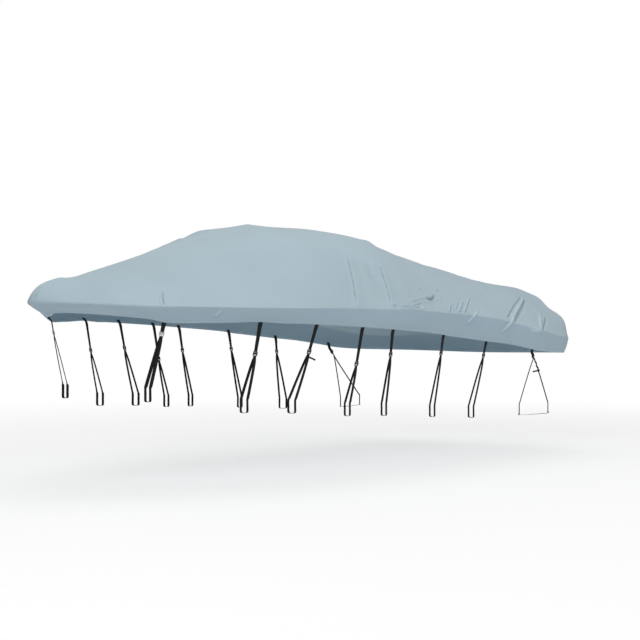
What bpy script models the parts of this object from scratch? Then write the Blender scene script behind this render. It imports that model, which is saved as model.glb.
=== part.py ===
"""Fitted cover for a small open motor boat, with its tie straps.

One fitted shell of coated cloth: a taut ramp over the fore deck, a crown over
the windscreen, a sloping aft deck and a skirt that turns under the gunwale.
The hem carries sixteen webbing ties, eight a side, each looped to go round
a beam.

Frame: metres, +Z up, +X towards the stern, -Y to port.  The tables below use
the cover's own stations: x from the bow tip, z above the ground.  Everything
is then shifted so that the origin is on the cloth's underside at the crown.
"""

import math

import bmesh
import bpy
import numpy as np
from mathutils import Matrix, Vector

# ---------------------------------------------------------------- main sizes
CLOTH_THICK = 0.0025      # coated cloth
HEM_THICK = 0.0050        # doubled cloth along the hem
SKIRT_BOW = 0.006         # outward bow of the skirt between gunwale and hem
CROWN_X = 2.25            # station of the crown, where the cover is held
AIR = 0.0003              # gap between pieces that touch

HANGER_TOP = 0.036        # hanger: doubled webbing sewn inside the hem,
HANGER_UP = 0.034         # this wide and this far up there,
HANGER_LOW = 0.026        # and this wide where it reaches the buckle
HANGER_THICK = 0.0030
HEM_CLEAR = 0.006         # the hanger bends this far below the hem edge
BUCKLE_WIDTH = 0.034
BUCKLE_HEIGHT = 0.032
BUCKLE_THICK = 0.013
WEB_THICK = 0.0020        # webbing of the loop below the buckle
LOOP_NECK = 0.012         # the loop's legs part this far below the buckle

# --------------------------------------------------------------- the sections
# A row for each section, from the bow tip round the port side to the transom.
# gunwale (g), shoulder handle (k) and centreline (s) points; fullness of the
# shoulder; height and inward tuck of the skirt.
SECTION_COLUMNS = ("x_g", "y_g", "z_g", "x_k", "y_k", "z_k", "full",
                   "x_s", "z_s", "drop", "tuck")
SECTIONS = {
    "nose":      (0.00, 0.000, 1.288, 0.12, 0.00, 1.445, 1.0, 0.34, 1.455, 0.088, 0.170),
    "nose_side": (0.03, 0.065, 1.287, 0.14, 0.03, 1.438, 1.0, 0.36, 1.457, 0.087, 0.150),
    "bow_a":     (0.17, 0.220, 1.282, 0.26, 0.12, 1.420, 1.0, 0.45, 1.475, 0.067, 0.110),
    "bow_b":     (0.48, 0.510, 1.268, 0.52, 0.28, 1.447, 1.0, 0.70, 1.538, 0.090, 0.090),
    "bow_c":     (0.92, 0.780, 1.261, 0.95, 0.42, 1.513, 1.0, 1.05, 1.631, 0.103, 0.080),
    "fore":      (1.45, 0.970, 1.252, 1.45, 0.58, 1.646, 1.0, 1.50, 1.755, 0.105, 0.070),
    "glass_fwd": (2.00, 1.070, 1.252, 2.00, 0.74, 1.790, 1.4, 1.95, 1.858, 0.133, 0.060),
    "glass":     (2.45, 1.120, 1.243, 2.40, 0.76, 1.813, 1.8, 2.25, 1.886, 0.153, 0.055),
    "glass_aft": (2.85, 1.140, 1.235, 2.75, 0.76, 1.829, 2.0, 2.70, 1.868, 0.173, 0.050),
    "seats":     (3.35, 1.140, 1.210, 3.30, 0.72, 1.734, 1.4, 3.25, 1.788, 0.186, 0.045),
    "cockpit":   (3.90, 1.130, 1.170, 3.85, 0.72, 1.632, 1.4, 3.80, 1.671, 0.196, 0.040),
    "quarter":   (4.45, 1.120, 1.100, 4.42, 0.76, 1.540, 1.5, 4.35, 1.561, 0.182, 0.040),
    "stern_a":   (4.97, 1.090, 1.025, 4.93, 0.80, 1.478, 1.7, 4.80, 1.517, 0.147, 0.040),
    "corner":    (5.33, 1.000, 0.997, 5.27, 0.80, 1.373, 2.0, 5.00, 1.504, 0.130, 0.040),
    "transom_a": (5.51, 0.740, 1.000, 5.44, 0.58, 1.370, 2.0, 5.10, 1.495, 0.140, 0.040),
    "transom":   (5.56, 0.000, 1.000, 5.48, 0.00, 1.395, 2.0, 5.12, 1.490, 0.150, 0.040),
}

# ------------------------------------------------------------ lifts and folds
# Where a corner under the cloth lifts it: metres along the gunwale from the
# bow, metres up the cloth from the gunwale, spreads and height.
LIFT_COLUMNS = ("side", "along", "up", "spread_along", "spread_up", "height")
LIFTS = {
    "glass_corner":      (-1, 3.24, 0.72, 0.10, 0.09, 0.016),
    "glass_corner_far":  (+1, 3.24, 0.72, 0.10, 0.09, 0.014),
    "glass_side_far":    (+1, 1.76, 1.00, 0.10, 0.10, 0.012),
    "quarter_sag":       (-1, 4.60, 0.75, 0.45, 0.22, -0.012),
    "stern_crown":       (-1, 5.28, 0.62, 0.22, 0.16, 0.012),
    "side_hollow":       (-1, 1.90, 0.42, 0.55, 0.16, -0.010),
    "side_hollow_far":   (+1, 2.10, 0.42, 0.60, 0.16, -0.010),
}

# Folds and tucks: two ends in the same coordinates (up is negative on the
# skirt), half-width and height of the ridge, and how far its trough lies to
# one side (towards the stern when positive).
FOLD_COLUMNS = ("side", "along_0", "up_0", "along_1", "up_1",
                "half_width", "height", "trough")
FOLDS = {
    "tuck_top":      (-1, 3.20, 0.72, 2.79, 0.54, 0.050, 0.007, -0.05),
    "tuck_fore":     (-1, 2.79, 0.54, 2.47, 0.00, 0.045, 0.010, -0.05),
    "tuck_aft":      (-1, 3.10, 0.46, 2.84, 0.00, 0.045, 0.008, -0.05),
    "diagonal":      (-1, 3.53, 0.16, 2.92, 0.02, 0.040, 0.010, 0.05),
    "quarter_a":     (-1, 3.76, 0.13, 3.54, -0.02, 0.035, 0.008, 0.05),
    "quarter_b":     (-1, 3.93, 0.17, 3.71, 0.00, 0.035, 0.007, 0.05),
    "quarter_c":     (-1, 4.12, 0.22, 3.82, -0.06, 0.040, 0.010, 0.05),
    "long_fold":     (-1, 5.18, 0.42, 4.47, 0.02, 0.050, 0.016, 0.06),
    "long_fold_low": (-1, 4.54, 0.03, 4.34, -0.11, 0.045, 0.010, 0.06),
    "corner_fold":   (-1, 5.34, 0.26, 5.02, -0.02, 0.045, 0.012, 0.06),
    "fore_pinch":    (-1, 0.96, 0.17, 0.88, 0.00, 0.040, 0.005, 0.05),
    "far_tuck_fore": (+1, 3.10, 0.60, 2.70, 0.00, 0.050, 0.008, -0.05),
    "far_quarter":   (+1, 4.10, 0.24, 3.84, -0.04, 0.045, 0.009, 0.05),
    "far_corner":    (+1, 5.20, 0.40, 4.70, 0.00, 0.055, 0.014, 0.06),
}

# ------------------------------------------------------------------- the ties
# Distance of each tie along the gunwale, x, y and z of the beam's outer lower
# edge that it goes under, the gap between its two legs there, how far aft the
# inner leg meets the beam, the hanger's length below the hem, and the width of
# the loop's webbing.
TIE_COLUMNS = ("along", "beam_x", "beam_y", "beam_z", "gap", "inner_aft",
               "hanger", "web")
TIES = {
    "bow":     (0.906, 0.690, 0.422, 0.630, 0.045, 0.000, 0.075, 0.028),
    "fore_a":  (1.633, 1.327, 0.734, 0.537, 0.064, 0.000, 0.200, 0.028),
    "fore_b":  (2.133, 1.770, 0.800, 0.515, 0.062, 0.000, 0.175, 0.028),
    "mid_a":   (2.590, 2.251, 0.923, 0.477, 0.050, 0.000, 0.240, 0.026),
    "mid_b":   (2.928, 2.585, 0.990, 0.463, 0.050, 0.000, 0.150, 0.026),
    "mid_c":   (3.571, 3.225, 1.000, 0.423, 0.044, 0.000, 0.105, 0.026),
    "aft_a":   (4.181, 3.833, 1.000, 0.388, 0.060, 0.020, 0.085, 0.026),
    "aft_b":   (4.934, 4.960, 1.000, 0.365, 0.060, -0.370, 0.030, 0.014),
}
BEAM_HEIGHT = 0.082       # the legs stand upright beside the beam for this height

# Loose ends, port side only: length, how far below the buckle they leave the
# outer leg, and how far they point aft (forward when negative) and down.
TAIL_COLUMNS = ("length", "below", "aft", "down")
TAILS = {
    "fore_b": (0.060, 0.022, 0.80, 0.15),
    "aft_b":  (0.050, 0.115, -0.90, 0.12),
}
TAIL_WIDTH = 0.012

# ------------------------------------------------------------------- mesh steps
# Stations along the half outline: (up to this distance, step).
STEPS = ((0.06, 0.030), (0.28, 0.055), (0.70, 0.085), (2.30, 0.150),
         (5.40, 0.094), (6.05, 0.085), (6.60, 0.150))
TIE_FACET = 0.046                             # hem facet that a hanger lies on
SKIRT_STEPS = (1.0, 0.55)                     # fractions of the skirt, hem first
TOP_STEPS = (0.0, 0.025, 0.060, 0.10, 0.15, 0.21, 0.28, 0.35, 0.42, 0.50,
             0.58, 0.67, 0.76, 0.88, 1.0)     # from the gunwale to the centreline

COLOURS = {"cloth": ((0.40, 0.46, 0.51, 1.0), 0.75),
           "webbing": ((0.012, 0.013, 0.016, 1.0), 0.8),
           "buckle": ((0.010, 0.010, 0.012, 1.0), 0.45)}


# ---------------------------------------------------------- the cloth's surface
def smooth_curve(knots, values, s):
    """Cubic through the values, with the slope at each knot taken from its
    neighbours."""
    i = np.clip(np.searchsorted(knots, s) - 1, 0, len(knots) - 2)

    def slope(j):
        a = np.clip(j - 1, 0, len(knots) - 1)
        b = np.clip(j + 1, 0, len(knots) - 1)
        return (values[b] - values[a]) / (knots[b] - knots[a])

    h = knots[i + 1] - knots[i]
    u = (s - knots[i]) / h
    return ((2 * u**3 - 3 * u**2 + 1) * values[i] + (u**3 - 2 * u**2 + u) * slope(i) * h
            + (-2 * u**3 + 3 * u**2) * values[i + 1] + (u**3 - u**2) * slope(i + 1) * h)


def section_knots():
    g = np.array([row[:2] for row in SECTIONS.values()])
    return np.concatenate([[0.0], np.cumsum(np.linalg.norm(np.diff(g, axis=0), axis=1))])


def section_values(s):
    """Every column of the section table at the distances s round the outline."""
    knots = section_knots()
    rows = np.array(list(SECTIONS.values()))
    wide = np.concatenate([[-knots[1]], knots, [2 * knots[-1] - knots[-2]]])
    found = {}
    for c, name in enumerate(SECTION_COLUMNS):
        flip = -1.0 if name in ("y_g", "y_k") else 1.0
        column = rows[:, c]
        padded = np.concatenate([[flip * column[1]], column, [flip * column[-2]]])
        found[name] = smooth_curve(wide, padded, s)
    return found


def outward(gunwale):
    """Unit plan directions that point away from the cover."""
    along = np.gradient(gunwale[:, :2], axis=0)
    along /= np.linalg.norm(along, axis=1)[:, None]
    out = np.stack([along[:, 1], -along[:, 0]], axis=1)
    out[0], out[-1] = (-1.0, 0.0), (1.0, 0.0)
    return out


def port_surface(s, skirt_steps, top_steps):
    """Rings of points over the port half, hem first: shape (rings, len(s), 3)."""
    v = section_values(s)
    gun = np.stack([v["x_g"], -v["y_g"], v["z_g"]], axis=1)
    handle = np.stack([v["x_k"], -v["y_k"], v["z_k"]], axis=1)
    spine = np.stack([v["x_s"], 0 * v["x_s"], v["z_s"]], axis=1)
    fine = section_values(np.linspace(s[0], s[-1], 1200))
    gun_fine = np.stack([fine["x_g"], -fine["y_g"]], axis=1)
    out_fine = outward(gun_fine)
    out = np.stack([np.interp(s, np.linspace(s[0], s[-1], 1200), out_fine[:, k])
                    for k in range(2)], axis=1)
    rings = []
    for k in skirt_steps:
        p = gun.copy()
        swell = SKIRT_BOW * 4 * k * (1 - k)
        p[:, :2] += out * (swell - v["tuck"] * k)[:, None]
        p[:, 2] -= v["drop"] * k
        rings.append(p)
    w = v["full"][:, None]
    for u in top_steps:
        a, b, c = (1 - u)**2, 2 * w * u * (1 - u), u**2
        rings.append((a * gun + b * handle + c * spine) / (a + b + c))
    return np.array(rings)


def up_cloth(rings, gunwale_ring):
    """Distance up the cloth from the gunwale, negative on the skirt."""
    steps = np.linalg.norm(np.diff(rings, axis=0), axis=2)
    arc = np.concatenate([np.zeros((1, steps.shape[1])), np.cumsum(steps, axis=0)])
    return arc - arc[gunwale_ring]


def relief(side, along, up):
    """Height of the lifts and folds above the plain surface."""
    total = np.zeros_like(up)
    for row in LIFTS.values():
        r = dict(zip(LIFT_COLUMNS, row))
        if r["side"] == side:
            total += r["height"] * np.exp(-((along - r["along"]) / r["spread_along"])**2
                                          - ((up - r["up"]) / r["spread_up"])**2)
    for row in FOLDS.values():
        r = dict(zip(FOLD_COLUMNS, row))
        if r["side"] != side:
            continue
        d = np.array([r["along_1"] - r["along_0"], r["up_1"] - r["up_0"]])
        length = float(np.hypot(*d))
        d /= length
        pa, pu = along - r["along_0"], up - r["up_0"]
        t = pa * d[0] + pu * d[1]
        n = pa * d[1] - pu * d[0]
        aft = 1.0 if d[1] >= 0 else -1.0       # n grows towards the stern
        n *= aft
        taper = np.clip(np.minimum(t + 0.03, length + 0.03 - t) / 0.09, 0, 1)
        taper = taper * taper * (3 - 2 * taper)
        ridge = np.exp(-(n / r["half_width"])**2)
        trough = np.exp(-((n - r["trough"]) / r["half_width"])**2)
        total += r["height"] * taper * (ridge - 0.75 * trough)
    return total


def grid_normals(p):
    """Unit normals of a grid of points (rings, stations, 3), pointing out."""
    du = np.gradient(p, axis=0)
    ds = np.gradient(p, axis=1)
    n = np.cross(ds, du)
    size = np.linalg.norm(n, axis=2)[:, :, None]
    return n / np.maximum(size, 1e-12)


def cover_half(side, s, skirt_steps, top_steps):
    """One side of the cloth's outer face, with its folds."""
    rings = port_surface(s, skirt_steps, top_steps)
    normals = grid_normals(rings)
    up = up_cloth(rings, len(skirt_steps))
    along = np.broadcast_to(s, up.shape)
    fade = np.clip(np.minimum(s - s[0], s[-1] - s) / 0.15, 0, 1)[None, :]
    middle = np.clip((up[-1][None, :] - up) / 0.12, 0, 1)
    rings = rings + normals * (relief(side, along, up) * fade * middle)[:, :, None]
    if side > 0:
        rings[:, :, 1] *= -1
    rings[:, (0, -1), 1] = 0.0
    rings[-1, :, 1] = 0.0
    return rings


def stations():
    """Distances of the mesh columns: one flat facet of the hem at each tie."""
    total = section_knots()[-1]
    anchors = [0.0, total]
    for row in TIES.values():
        anchors += [row[0] - TIE_FACET / 2, row[0] + TIE_FACET / 2]
    anchors = sorted(anchors + [limit for limit, step in STEPS
                                if all(abs(limit - row[0]) > TIE_FACET for row in TIES.values())])
    marks = [0.0]
    for a, b in zip(anchors, anchors[1:]):
        step = next((step for limit, step in STEPS if (a + b) / 2 < limit), 0.16)
        count = max(1, round((b - a) / step))
        marks += [a + (b - a) * (k + 1) / count for k in range(count)]
    return np.array(marks)


# ------------------------------------------------------------------ mesh helpers
def material(name):
    found = bpy.data.materials.get(name)
    if found:
        return found
    colour, rough = COLOURS[name]
    made = bpy.data.materials.new(name)
    made.use_nodes = True
    shader = made.node_tree.nodes["Principled BSDF"]
    shader.inputs["Base Color"].default_value = colour
    shader.inputs["Roughness"].default_value = rough
    shader.inputs["Metallic"].default_value = 0.0
    made.diffuse_color = colour
    return made


def add_object(name, bm, slot, smooth=True):
    bmesh.ops.recalc_face_normals(bm, faces=bm.faces[:])
    mesh = bpy.data.meshes.new(name)
    bm.to_mesh(mesh)
    bm.free()
    if smooth:
        mesh.shade_smooth()
        mesh.set_sharp_from_angle(angle=math.radians(35))
    mesh.materials.append(material(slot))
    obj = bpy.data.objects.new(name, mesh)
    bpy.context.scene.collection.objects.link(obj)
    return obj


# ------------------------------------------------------------------- the cloth
def crown_height():
    """Height of the cloth's outer face on the centreline at the crown."""
    s = np.linspace(1.5, 4.0, 400)
    v = section_values(s)
    return float(np.interp(CROWN_X, v["x_s"], v["z_s"]))


def make_cloth():
    s = stations()
    port = cover_half(-1, s, SKIRT_STEPS, TOP_STEPS)
    star = cover_half(+1, s, SKIRT_STEPS, TOP_STEPS)
    rings, count = port.shape[:2]
    up = up_cloth(port, len(SKIRT_STEPS))
    bm = bmesh.new()
    outer, inner = {}, {}

    def key(side, j, i):
        if i in (0, count - 1) or j == rings - 1:
            side = -1                      # shared by both halves
        return (side, j, i)

    place = {}
    for side, grid in ((-1, port), (+1, star)):
        for j in range(rings):
            for i in range(count):
                place.setdefault(key(side, j, i), grid[j, i])
    for k, p in place.items():
        outer[k] = bm.verts.new(p)
    faces = []
    for side in (-1, +1):
        for j in range(rings - 1):
            for i in range(count - 1):
                quad = [key(side, j, i), key(side, j, i + 1),
                        key(side, j + 1, i + 1), key(side, j + 1, i)]
                if side > 0:
                    quad.reverse()
                faces.append(quad)
                bm.faces.new([outer[k] for k in quad])
    bm.normal_update()
    for k, vert in outer.items():
        side, j, i = k
        thick = HEM_THICK if j == 0 else CLOTH_THICK
        inner[k] = bm.verts.new(vert.co - vert.normal * thick)
    for quad in faces:
        bm.faces.new([inner[k] for k in reversed(quad)])
    edge = [key(-1, 0, i) for i in range(count)]
    edge += [key(+1, 0, i) for i in range(count - 2, 0, -1)]
    for a, b in zip(edge, edge[1:] + edge[:1]):
        bm.faces.new([outer[b], outer[a], inner[a], inner[b]])
    hems = {}
    for side in (-1, +1):
        for name, row in TIES.items():
            i = int(np.argmin(np.abs(s - (row[0] - TIE_FACET / 2))))
            a, b = inner[key(side, 0, i)].co.copy(), inner[key(side, 0, i + 1)].co.copy()
            c, d = inner[key(side, 1, i)].co.copy(), inner[key(side, 1, i + 1)].co.copy()
            tangent = (b - a).normalized()
            rise = (c + d - a - b).normalized()
            inward = tangent.cross(rise).normalized()
            if inward.y * side > 0:
                inward.negate()
            rise = inward.cross(tangent).normalized()
            if rise.z < 0:
                rise.negate()
            middle = (a + b) / 2               # clear of a slightly twisted facet
            middle += inward * max((q - middle).dot(inward) for q in (a, b, c, d))
            hems[(side, name)] = (middle, tangent, inward, rise)
    return add_object("cover_cloth", bm, "cloth"), hems


# -------------------------------------------------------------------- the ties
def box_between(bm, origin, axes, low, high):
    """A box in a local frame: origin, three axes, low and high corners."""
    corners = []
    for x in (low[0], high[0]):
        for y in (low[1], high[1]):
            for z in (low[2], high[2]):
                corners.append(bm.verts.new(origin + axes[0] * x + axes[1] * y + axes[2] * z))
    for quad in ((0, 1, 3, 2), (4, 6, 7, 5), (0, 4, 5, 1), (2, 3, 7, 6), (0, 2, 6, 4), (1, 5, 7, 3)):
        bm.faces.new([corners[i] for i in quad])


def tie_axes(hem, side, row):
    """Where the hanger leaves the hem, the way down the tie, its width
    direction and the direction in towards the boat's side."""
    point, tangent, inward, rise = hem
    beam = Vector((row["beam_x"], side * row["beam_y"], row["beam_z"] + BEAM_HEIGHT))
    down = (beam - point).normalized()
    lean = abs(down.dot(tangent)) * HANGER_TOP / 2
    bend = point + inward * (AIR + HANGER_THICK / 2) - rise * (HEM_CLEAR + lean)
    down = (beam - bend).normalized()
    width = (tangent - down * tangent.dot(down)).normalized()
    if width.x < 0:
        width.negate()
    inboard = down.cross(width).normalized()
    if inboard.y * side > 0:
        inboard.negate()
    return bend, down, width, inboard


def make_hanger(name, hem, side, row):
    """Doubled webbing, sewn inside the hem and bent to hang to the buckle."""
    point, tangent, inward, rise = hem
    bend, down, width, inboard = tie_axes(hem, side, row)
    if tangent.dot(width) < 0:
        tangent = -tangent
    top = bend + rise * ((point - bend).dot(rise) + HANGER_UP)
    low = bend + down * row["hanger"]
    corner = (inward + inboard).normalized()
    corner *= 1 / corner.dot(inward)
    slant = abs(down.dot(tangent)) * HANGER_TOP / 2     # keeps a leaning turn open
    mid = bend + down * max(row["hanger"] * 0.30, slant + 0.004)
    bm = bmesh.new()
    loops = []
    for p, normal, across, wide in ((top, inward, tangent, HANGER_TOP),
                                    (bend, corner, tangent, HANGER_TOP),
                                    (mid, inboard, width, (HANGER_TOP + HANGER_LOW) / 2),
                                    (low, inboard, width, HANGER_LOW)):
        half, thick = across * wide / 2, normal * HANGER_THICK / 2
        loops.append([bm.verts.new(p + q) for q in
                      (-half - thick, half - thick, half + thick, -half + thick)])
    for a, b in zip(loops, loops[1:]):
        for i in range(4):
            bm.faces.new([a[i], a[(i + 1) % 4], b[(i + 1) % 4], b[i]])
    bm.faces.new(list(reversed(loops[0])))
    bm.faces.new(loops[-1])
    return add_object(name, bm, "webbing", smooth=False)


def make_buckle(name, hem, side, row):
    bend, down, width, inboard = tie_axes(hem, side, row)
    start = bend + down * (row["hanger"] + AIR)
    bm = bmesh.new()
    # along the tie: share of the height, of the width, of the thickness
    profile = ((0.0, 0.84, 0.40), (0.10, 1.0, 0.62), (0.36, 1.0, 1.0),
               (0.50, 0.90, 0.72), (0.64, 1.0, 0.96), (0.90, 1.0, 0.62),
               (1.0, 0.84, 0.42))
    loops = []
    for t, wide, thick in profile:
        w, d = BUCKLE_WIDTH * wide / 2, BUCKLE_THICK * thick / 2
        c = start + down * (BUCKLE_HEIGHT * t)
        loops.append([bm.verts.new(c + width * a * w + inboard * b * d)
                      for a, b in ((-1, -0.55), (-0.86, -1), (0.86, -1), (1, -0.55),
                                   (1, 0.55), (0.86, 1), (-0.86, 1), (-1, 0.55))])
    for a, b in zip(loops, loops[1:]):
        for i in range(8):
            bm.faces.new([a[i], a[(i + 1) % 8], b[(i + 1) % 8], b[i]])
    bm.faces.new(list(reversed(loops[0])))
    bm.faces.new(loops[-1])
    return add_object(name, bm, "buckle")


def loop_route(hem, side, row):
    """The webbing's middle line as (point, direction it faces): from where the
    legs part, down outside the beam, under it and up its inner side."""
    bend, down, width, inboard = tie_axes(hem, side, row)
    part = bend + down * (row["hanger"] + 2 * AIR + BUCKLE_HEIGHT + LOOP_NECK)
    beam = Vector((row["beam_x"], side * row["beam_y"], row["beam_z"]))
    inn = Vector((0, -side, 0))
    low = beam + inn * row["gap"] + Vector((row["inner_aft"], 0, 0))
    up, fall = Vector((0, 0, BEAM_HEIGHT)), Vector((0, 0, -1))
    turn = row["gap"] * 0.12
    return part, [
        (part.lerp(beam + up, 0.5), -inboard),
        (beam + up, -inn),
        (beam + up * 0.5, -inn),
        (beam + up * 0.06, -inn),
        (beam + fall * 0.006 + (low - beam).normalized() * turn, fall),
        ((beam + low) / 2 + fall * 0.008, fall),
        (low + fall * 0.006 + (beam - low).normalized() * turn, fall),
        (low + up * 0.06, inn),
        (low + up * 0.5, inn),
        (low + up, inn),
        (part.lerp(low + up, 0.5), inboard),
    ]


def make_tie(name, hem, side, row, tail_row):
    """One closed band of webbing: a doubled neck under the buckle, then a leg
    down each side of the beam and a turn under it."""
    bend, down, width, inboard = tie_axes(hem, side, row)
    part, route = loop_route(hem, side, row)
    neck_top = bend + down * (row["hanger"] + 2 * AIR + BUCKLE_HEIGHT)
    bm = bmesh.new()
    half_web = row["web"] / 2

    def pair(p, across):
        return (bm.verts.new(p - across * half_web), bm.verts.new(p + across * half_web))

    points = [part] + [p for p, n in route] + [part]
    outer, inner = [], []
    across = width
    for i, (p, faces_to) in enumerate(route, start=1):
        run = (points[i + 1] - points[i - 1]).normalized()
        normal = (faces_to - run * faces_to.dot(run)).normalized()
        side_dir = run.cross(normal).normalized()
        if side_dir.dot(across) < 0:
            side_dir.negate()
        across = side_dir
        outer.append(pair(p + normal * WEB_THICK / 2, across))
        inner.append(pair(p - normal * WEB_THICK / 2, across))
    lap = inboard * WEB_THICK
    s_out, s_in = pair(part - lap, width), pair(part + lap, width)
    t_out, t_in = pair(neck_top - lap, width), pair(neck_top + lap, width)
    crotch = pair(part + down * 0.030, width)
    outer = [s_out] + outer + [s_in]
    inner = [crotch] + inner + [crotch]
    for i in range(len(outer) - 1):
        a, b, c, d = outer[i], outer[i + 1], inner[i + 1], inner[i]
        bm.faces.new([a[0], b[0], b[1], a[1]])              # outer wall
        bm.faces.new([d[0], d[1], c[1], c[0]])              # inner wall
        for e in (0, 1):                                    # the two edges
            bm.faces.new([a[e], b[e], c[e], d[e]])
    for e in (0, 1):
        bm.faces.new([s_out[e], crotch[e], s_in[e]])
        bm.faces.new([t_out[e], s_out[e], s_in[e], t_in[e]])
    bm.faces.new([t_out[0], t_out[1], s_out[1], s_out[0]])
    bm.faces.new([t_in[0], s_in[0], s_in[1], t_in[1]])
    bm.faces.new([t_out[0], t_in[0], t_in[1], t_out[1]])
    obj = add_object(name, bm, "webbing", smooth=False)
    if tail_row:
        add_tail(obj, dict(zip(TAIL_COLUMNS, tail_row)), part,
                 route[1][0] - part, -inboard)
    return obj


def add_tail(obj, tail, part, leg, out):
    """A loose end, doubled back through the webbing and standing off it."""
    at = part + leg.normalized() * (tail["below"] - LOOP_NECK)
    run = Vector((tail["aft"], 0, -tail["down"])) + out * 0.45
    run.normalize()
    across = Vector((0, 0, 1)) - run * run.z
    across.normalize()
    bm = bmesh.new()
    box_between(bm, at, (run, across, run.cross(across)),
                (0.0, -TAIL_WIDTH / 2, -WEB_THICK / 2),
                (tail["length"], TAIL_WIDTH / 2, WEB_THICK / 2))
    tail_obj = add_object(obj.name + "_loose_end", bm, "webbing", smooth=False)
    join = obj.modifiers.new("loose_end", "BOOLEAN")
    join.operation = "UNION"
    join.solver = "EXACT"
    join.object = tail_obj
    tail_obj.hide_render = True
    tail_obj.display_type = "WIRE"


def main():
    for obj in list(bpy.data.objects):
        bpy.data.objects.remove(obj, do_unlink=True)
    origin = np.array([CROWN_X, 0.0, crown_height() - CLOTH_THICK])
    cloth, hems = make_cloth()
    pieces = [cloth]
    for side, word in ((-1, "port"), (+1, "starboard")):
        for place, values in TIES.items():
            row = dict(zip(TIE_COLUMNS, values))
            hem = hems[(side, place)]
            pieces.append(make_hanger(f"hanger_{word}_{place}", hem, side, row))
            pieces.append(make_buckle(f"buckle_{word}_{place}", hem, side, row))
            tail = TAILS.get(place) if side < 0 else None
            pieces.append(make_tie(f"tie_{word}_{place}", hem, side, row, tail))
    for obj in bpy.data.objects:
        obj.data.transform(Matrix.Translation(-Vector(origin)))


main()
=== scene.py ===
"""Looks of a fitted boat cover: the cloth with its folds and hem stitching, the
webbing hangers, buckles and ties, and a plain pale stage.

Run it as a script.  Metres, +Z up, +X towards the stern, -Y to port.  The
tables use the cover's own stations: x from the bow tip and z above the ground;
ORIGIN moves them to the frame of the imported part.  The skirt line is where the
top of the cloth turns down into its skirt.
"""

import math

import bmesh
import bpy
import numpy as np
from bpy.props import FloatProperty, FloatVectorProperty, PointerProperty
from mathutils import Matrix, Vector


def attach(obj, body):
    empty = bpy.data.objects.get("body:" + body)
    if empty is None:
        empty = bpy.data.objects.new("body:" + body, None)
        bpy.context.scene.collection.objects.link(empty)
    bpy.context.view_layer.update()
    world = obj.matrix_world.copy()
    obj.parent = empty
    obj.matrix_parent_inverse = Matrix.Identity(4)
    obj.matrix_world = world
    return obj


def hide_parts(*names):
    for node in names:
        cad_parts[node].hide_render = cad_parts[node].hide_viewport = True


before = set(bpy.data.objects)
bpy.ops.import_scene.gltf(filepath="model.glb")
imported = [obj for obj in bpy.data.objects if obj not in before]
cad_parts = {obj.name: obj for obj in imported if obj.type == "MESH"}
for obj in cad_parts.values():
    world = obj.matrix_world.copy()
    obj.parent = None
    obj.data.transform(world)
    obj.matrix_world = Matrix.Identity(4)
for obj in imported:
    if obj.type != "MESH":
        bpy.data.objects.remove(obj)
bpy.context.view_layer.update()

bl_info = {
    "name": "Boat Cover",
    "version": (1, 0, 0),
    "blender": (4, 5, 0),
    "location": "3D Viewport > Sidebar > Boat Cover",
    "description": "Dresses a fitted boat cover: cloth, hem, webbing ties and stage",
    "category": "Object",
}

# ---------------------------------------------------------------- main sizes
CLOTH_THICK = 0.0025      # coated cloth
HEM_THICK = 0.0050        # doubled cloth along the hem
SKIRT_BOW = 0.006         # outward bow of the skirt between the skirt line and hem
NOSE_BOW = 0.011          # how much more it bows at the nose
NOSE_SPREAD = 0.15        # how far round the outline from the nose it does
CROWN_X = 2.25            # station of the crown
AIR = 0.0003              # gap between pieces that touch
HANGER_TOP = 0.036        # width of a hanger inside the hem
HANGER_LOW = 0.026        # its width at the buckle
HANGER_UP = 0.034         # how far it runs up inside the hem
HANGER_THICK = 0.0030     # its two layers together
HEM_CLEAR = 0.006         # from the hem's edge down to the hanger's bend
BUCKLE_WIDTH = 0.034
BUCKLE_HEIGHT = 0.032
WEB_THICK = 0.0020        # webbing of the ties
LOOP_NECK = 0.012         # length where the tie's two layers lie together
LOOP_BASE = 0.082         # height of the square lower end of the loop
TIE_FACET = 0.046         # flat length of the hem at each tie
TAIL_WIDTH = 0.012        # width of a loose end
PIXEL = 640.0             # the picture's side in pixels
SENSOR = 36.0             # the camera's sensor width in millimetres

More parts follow.
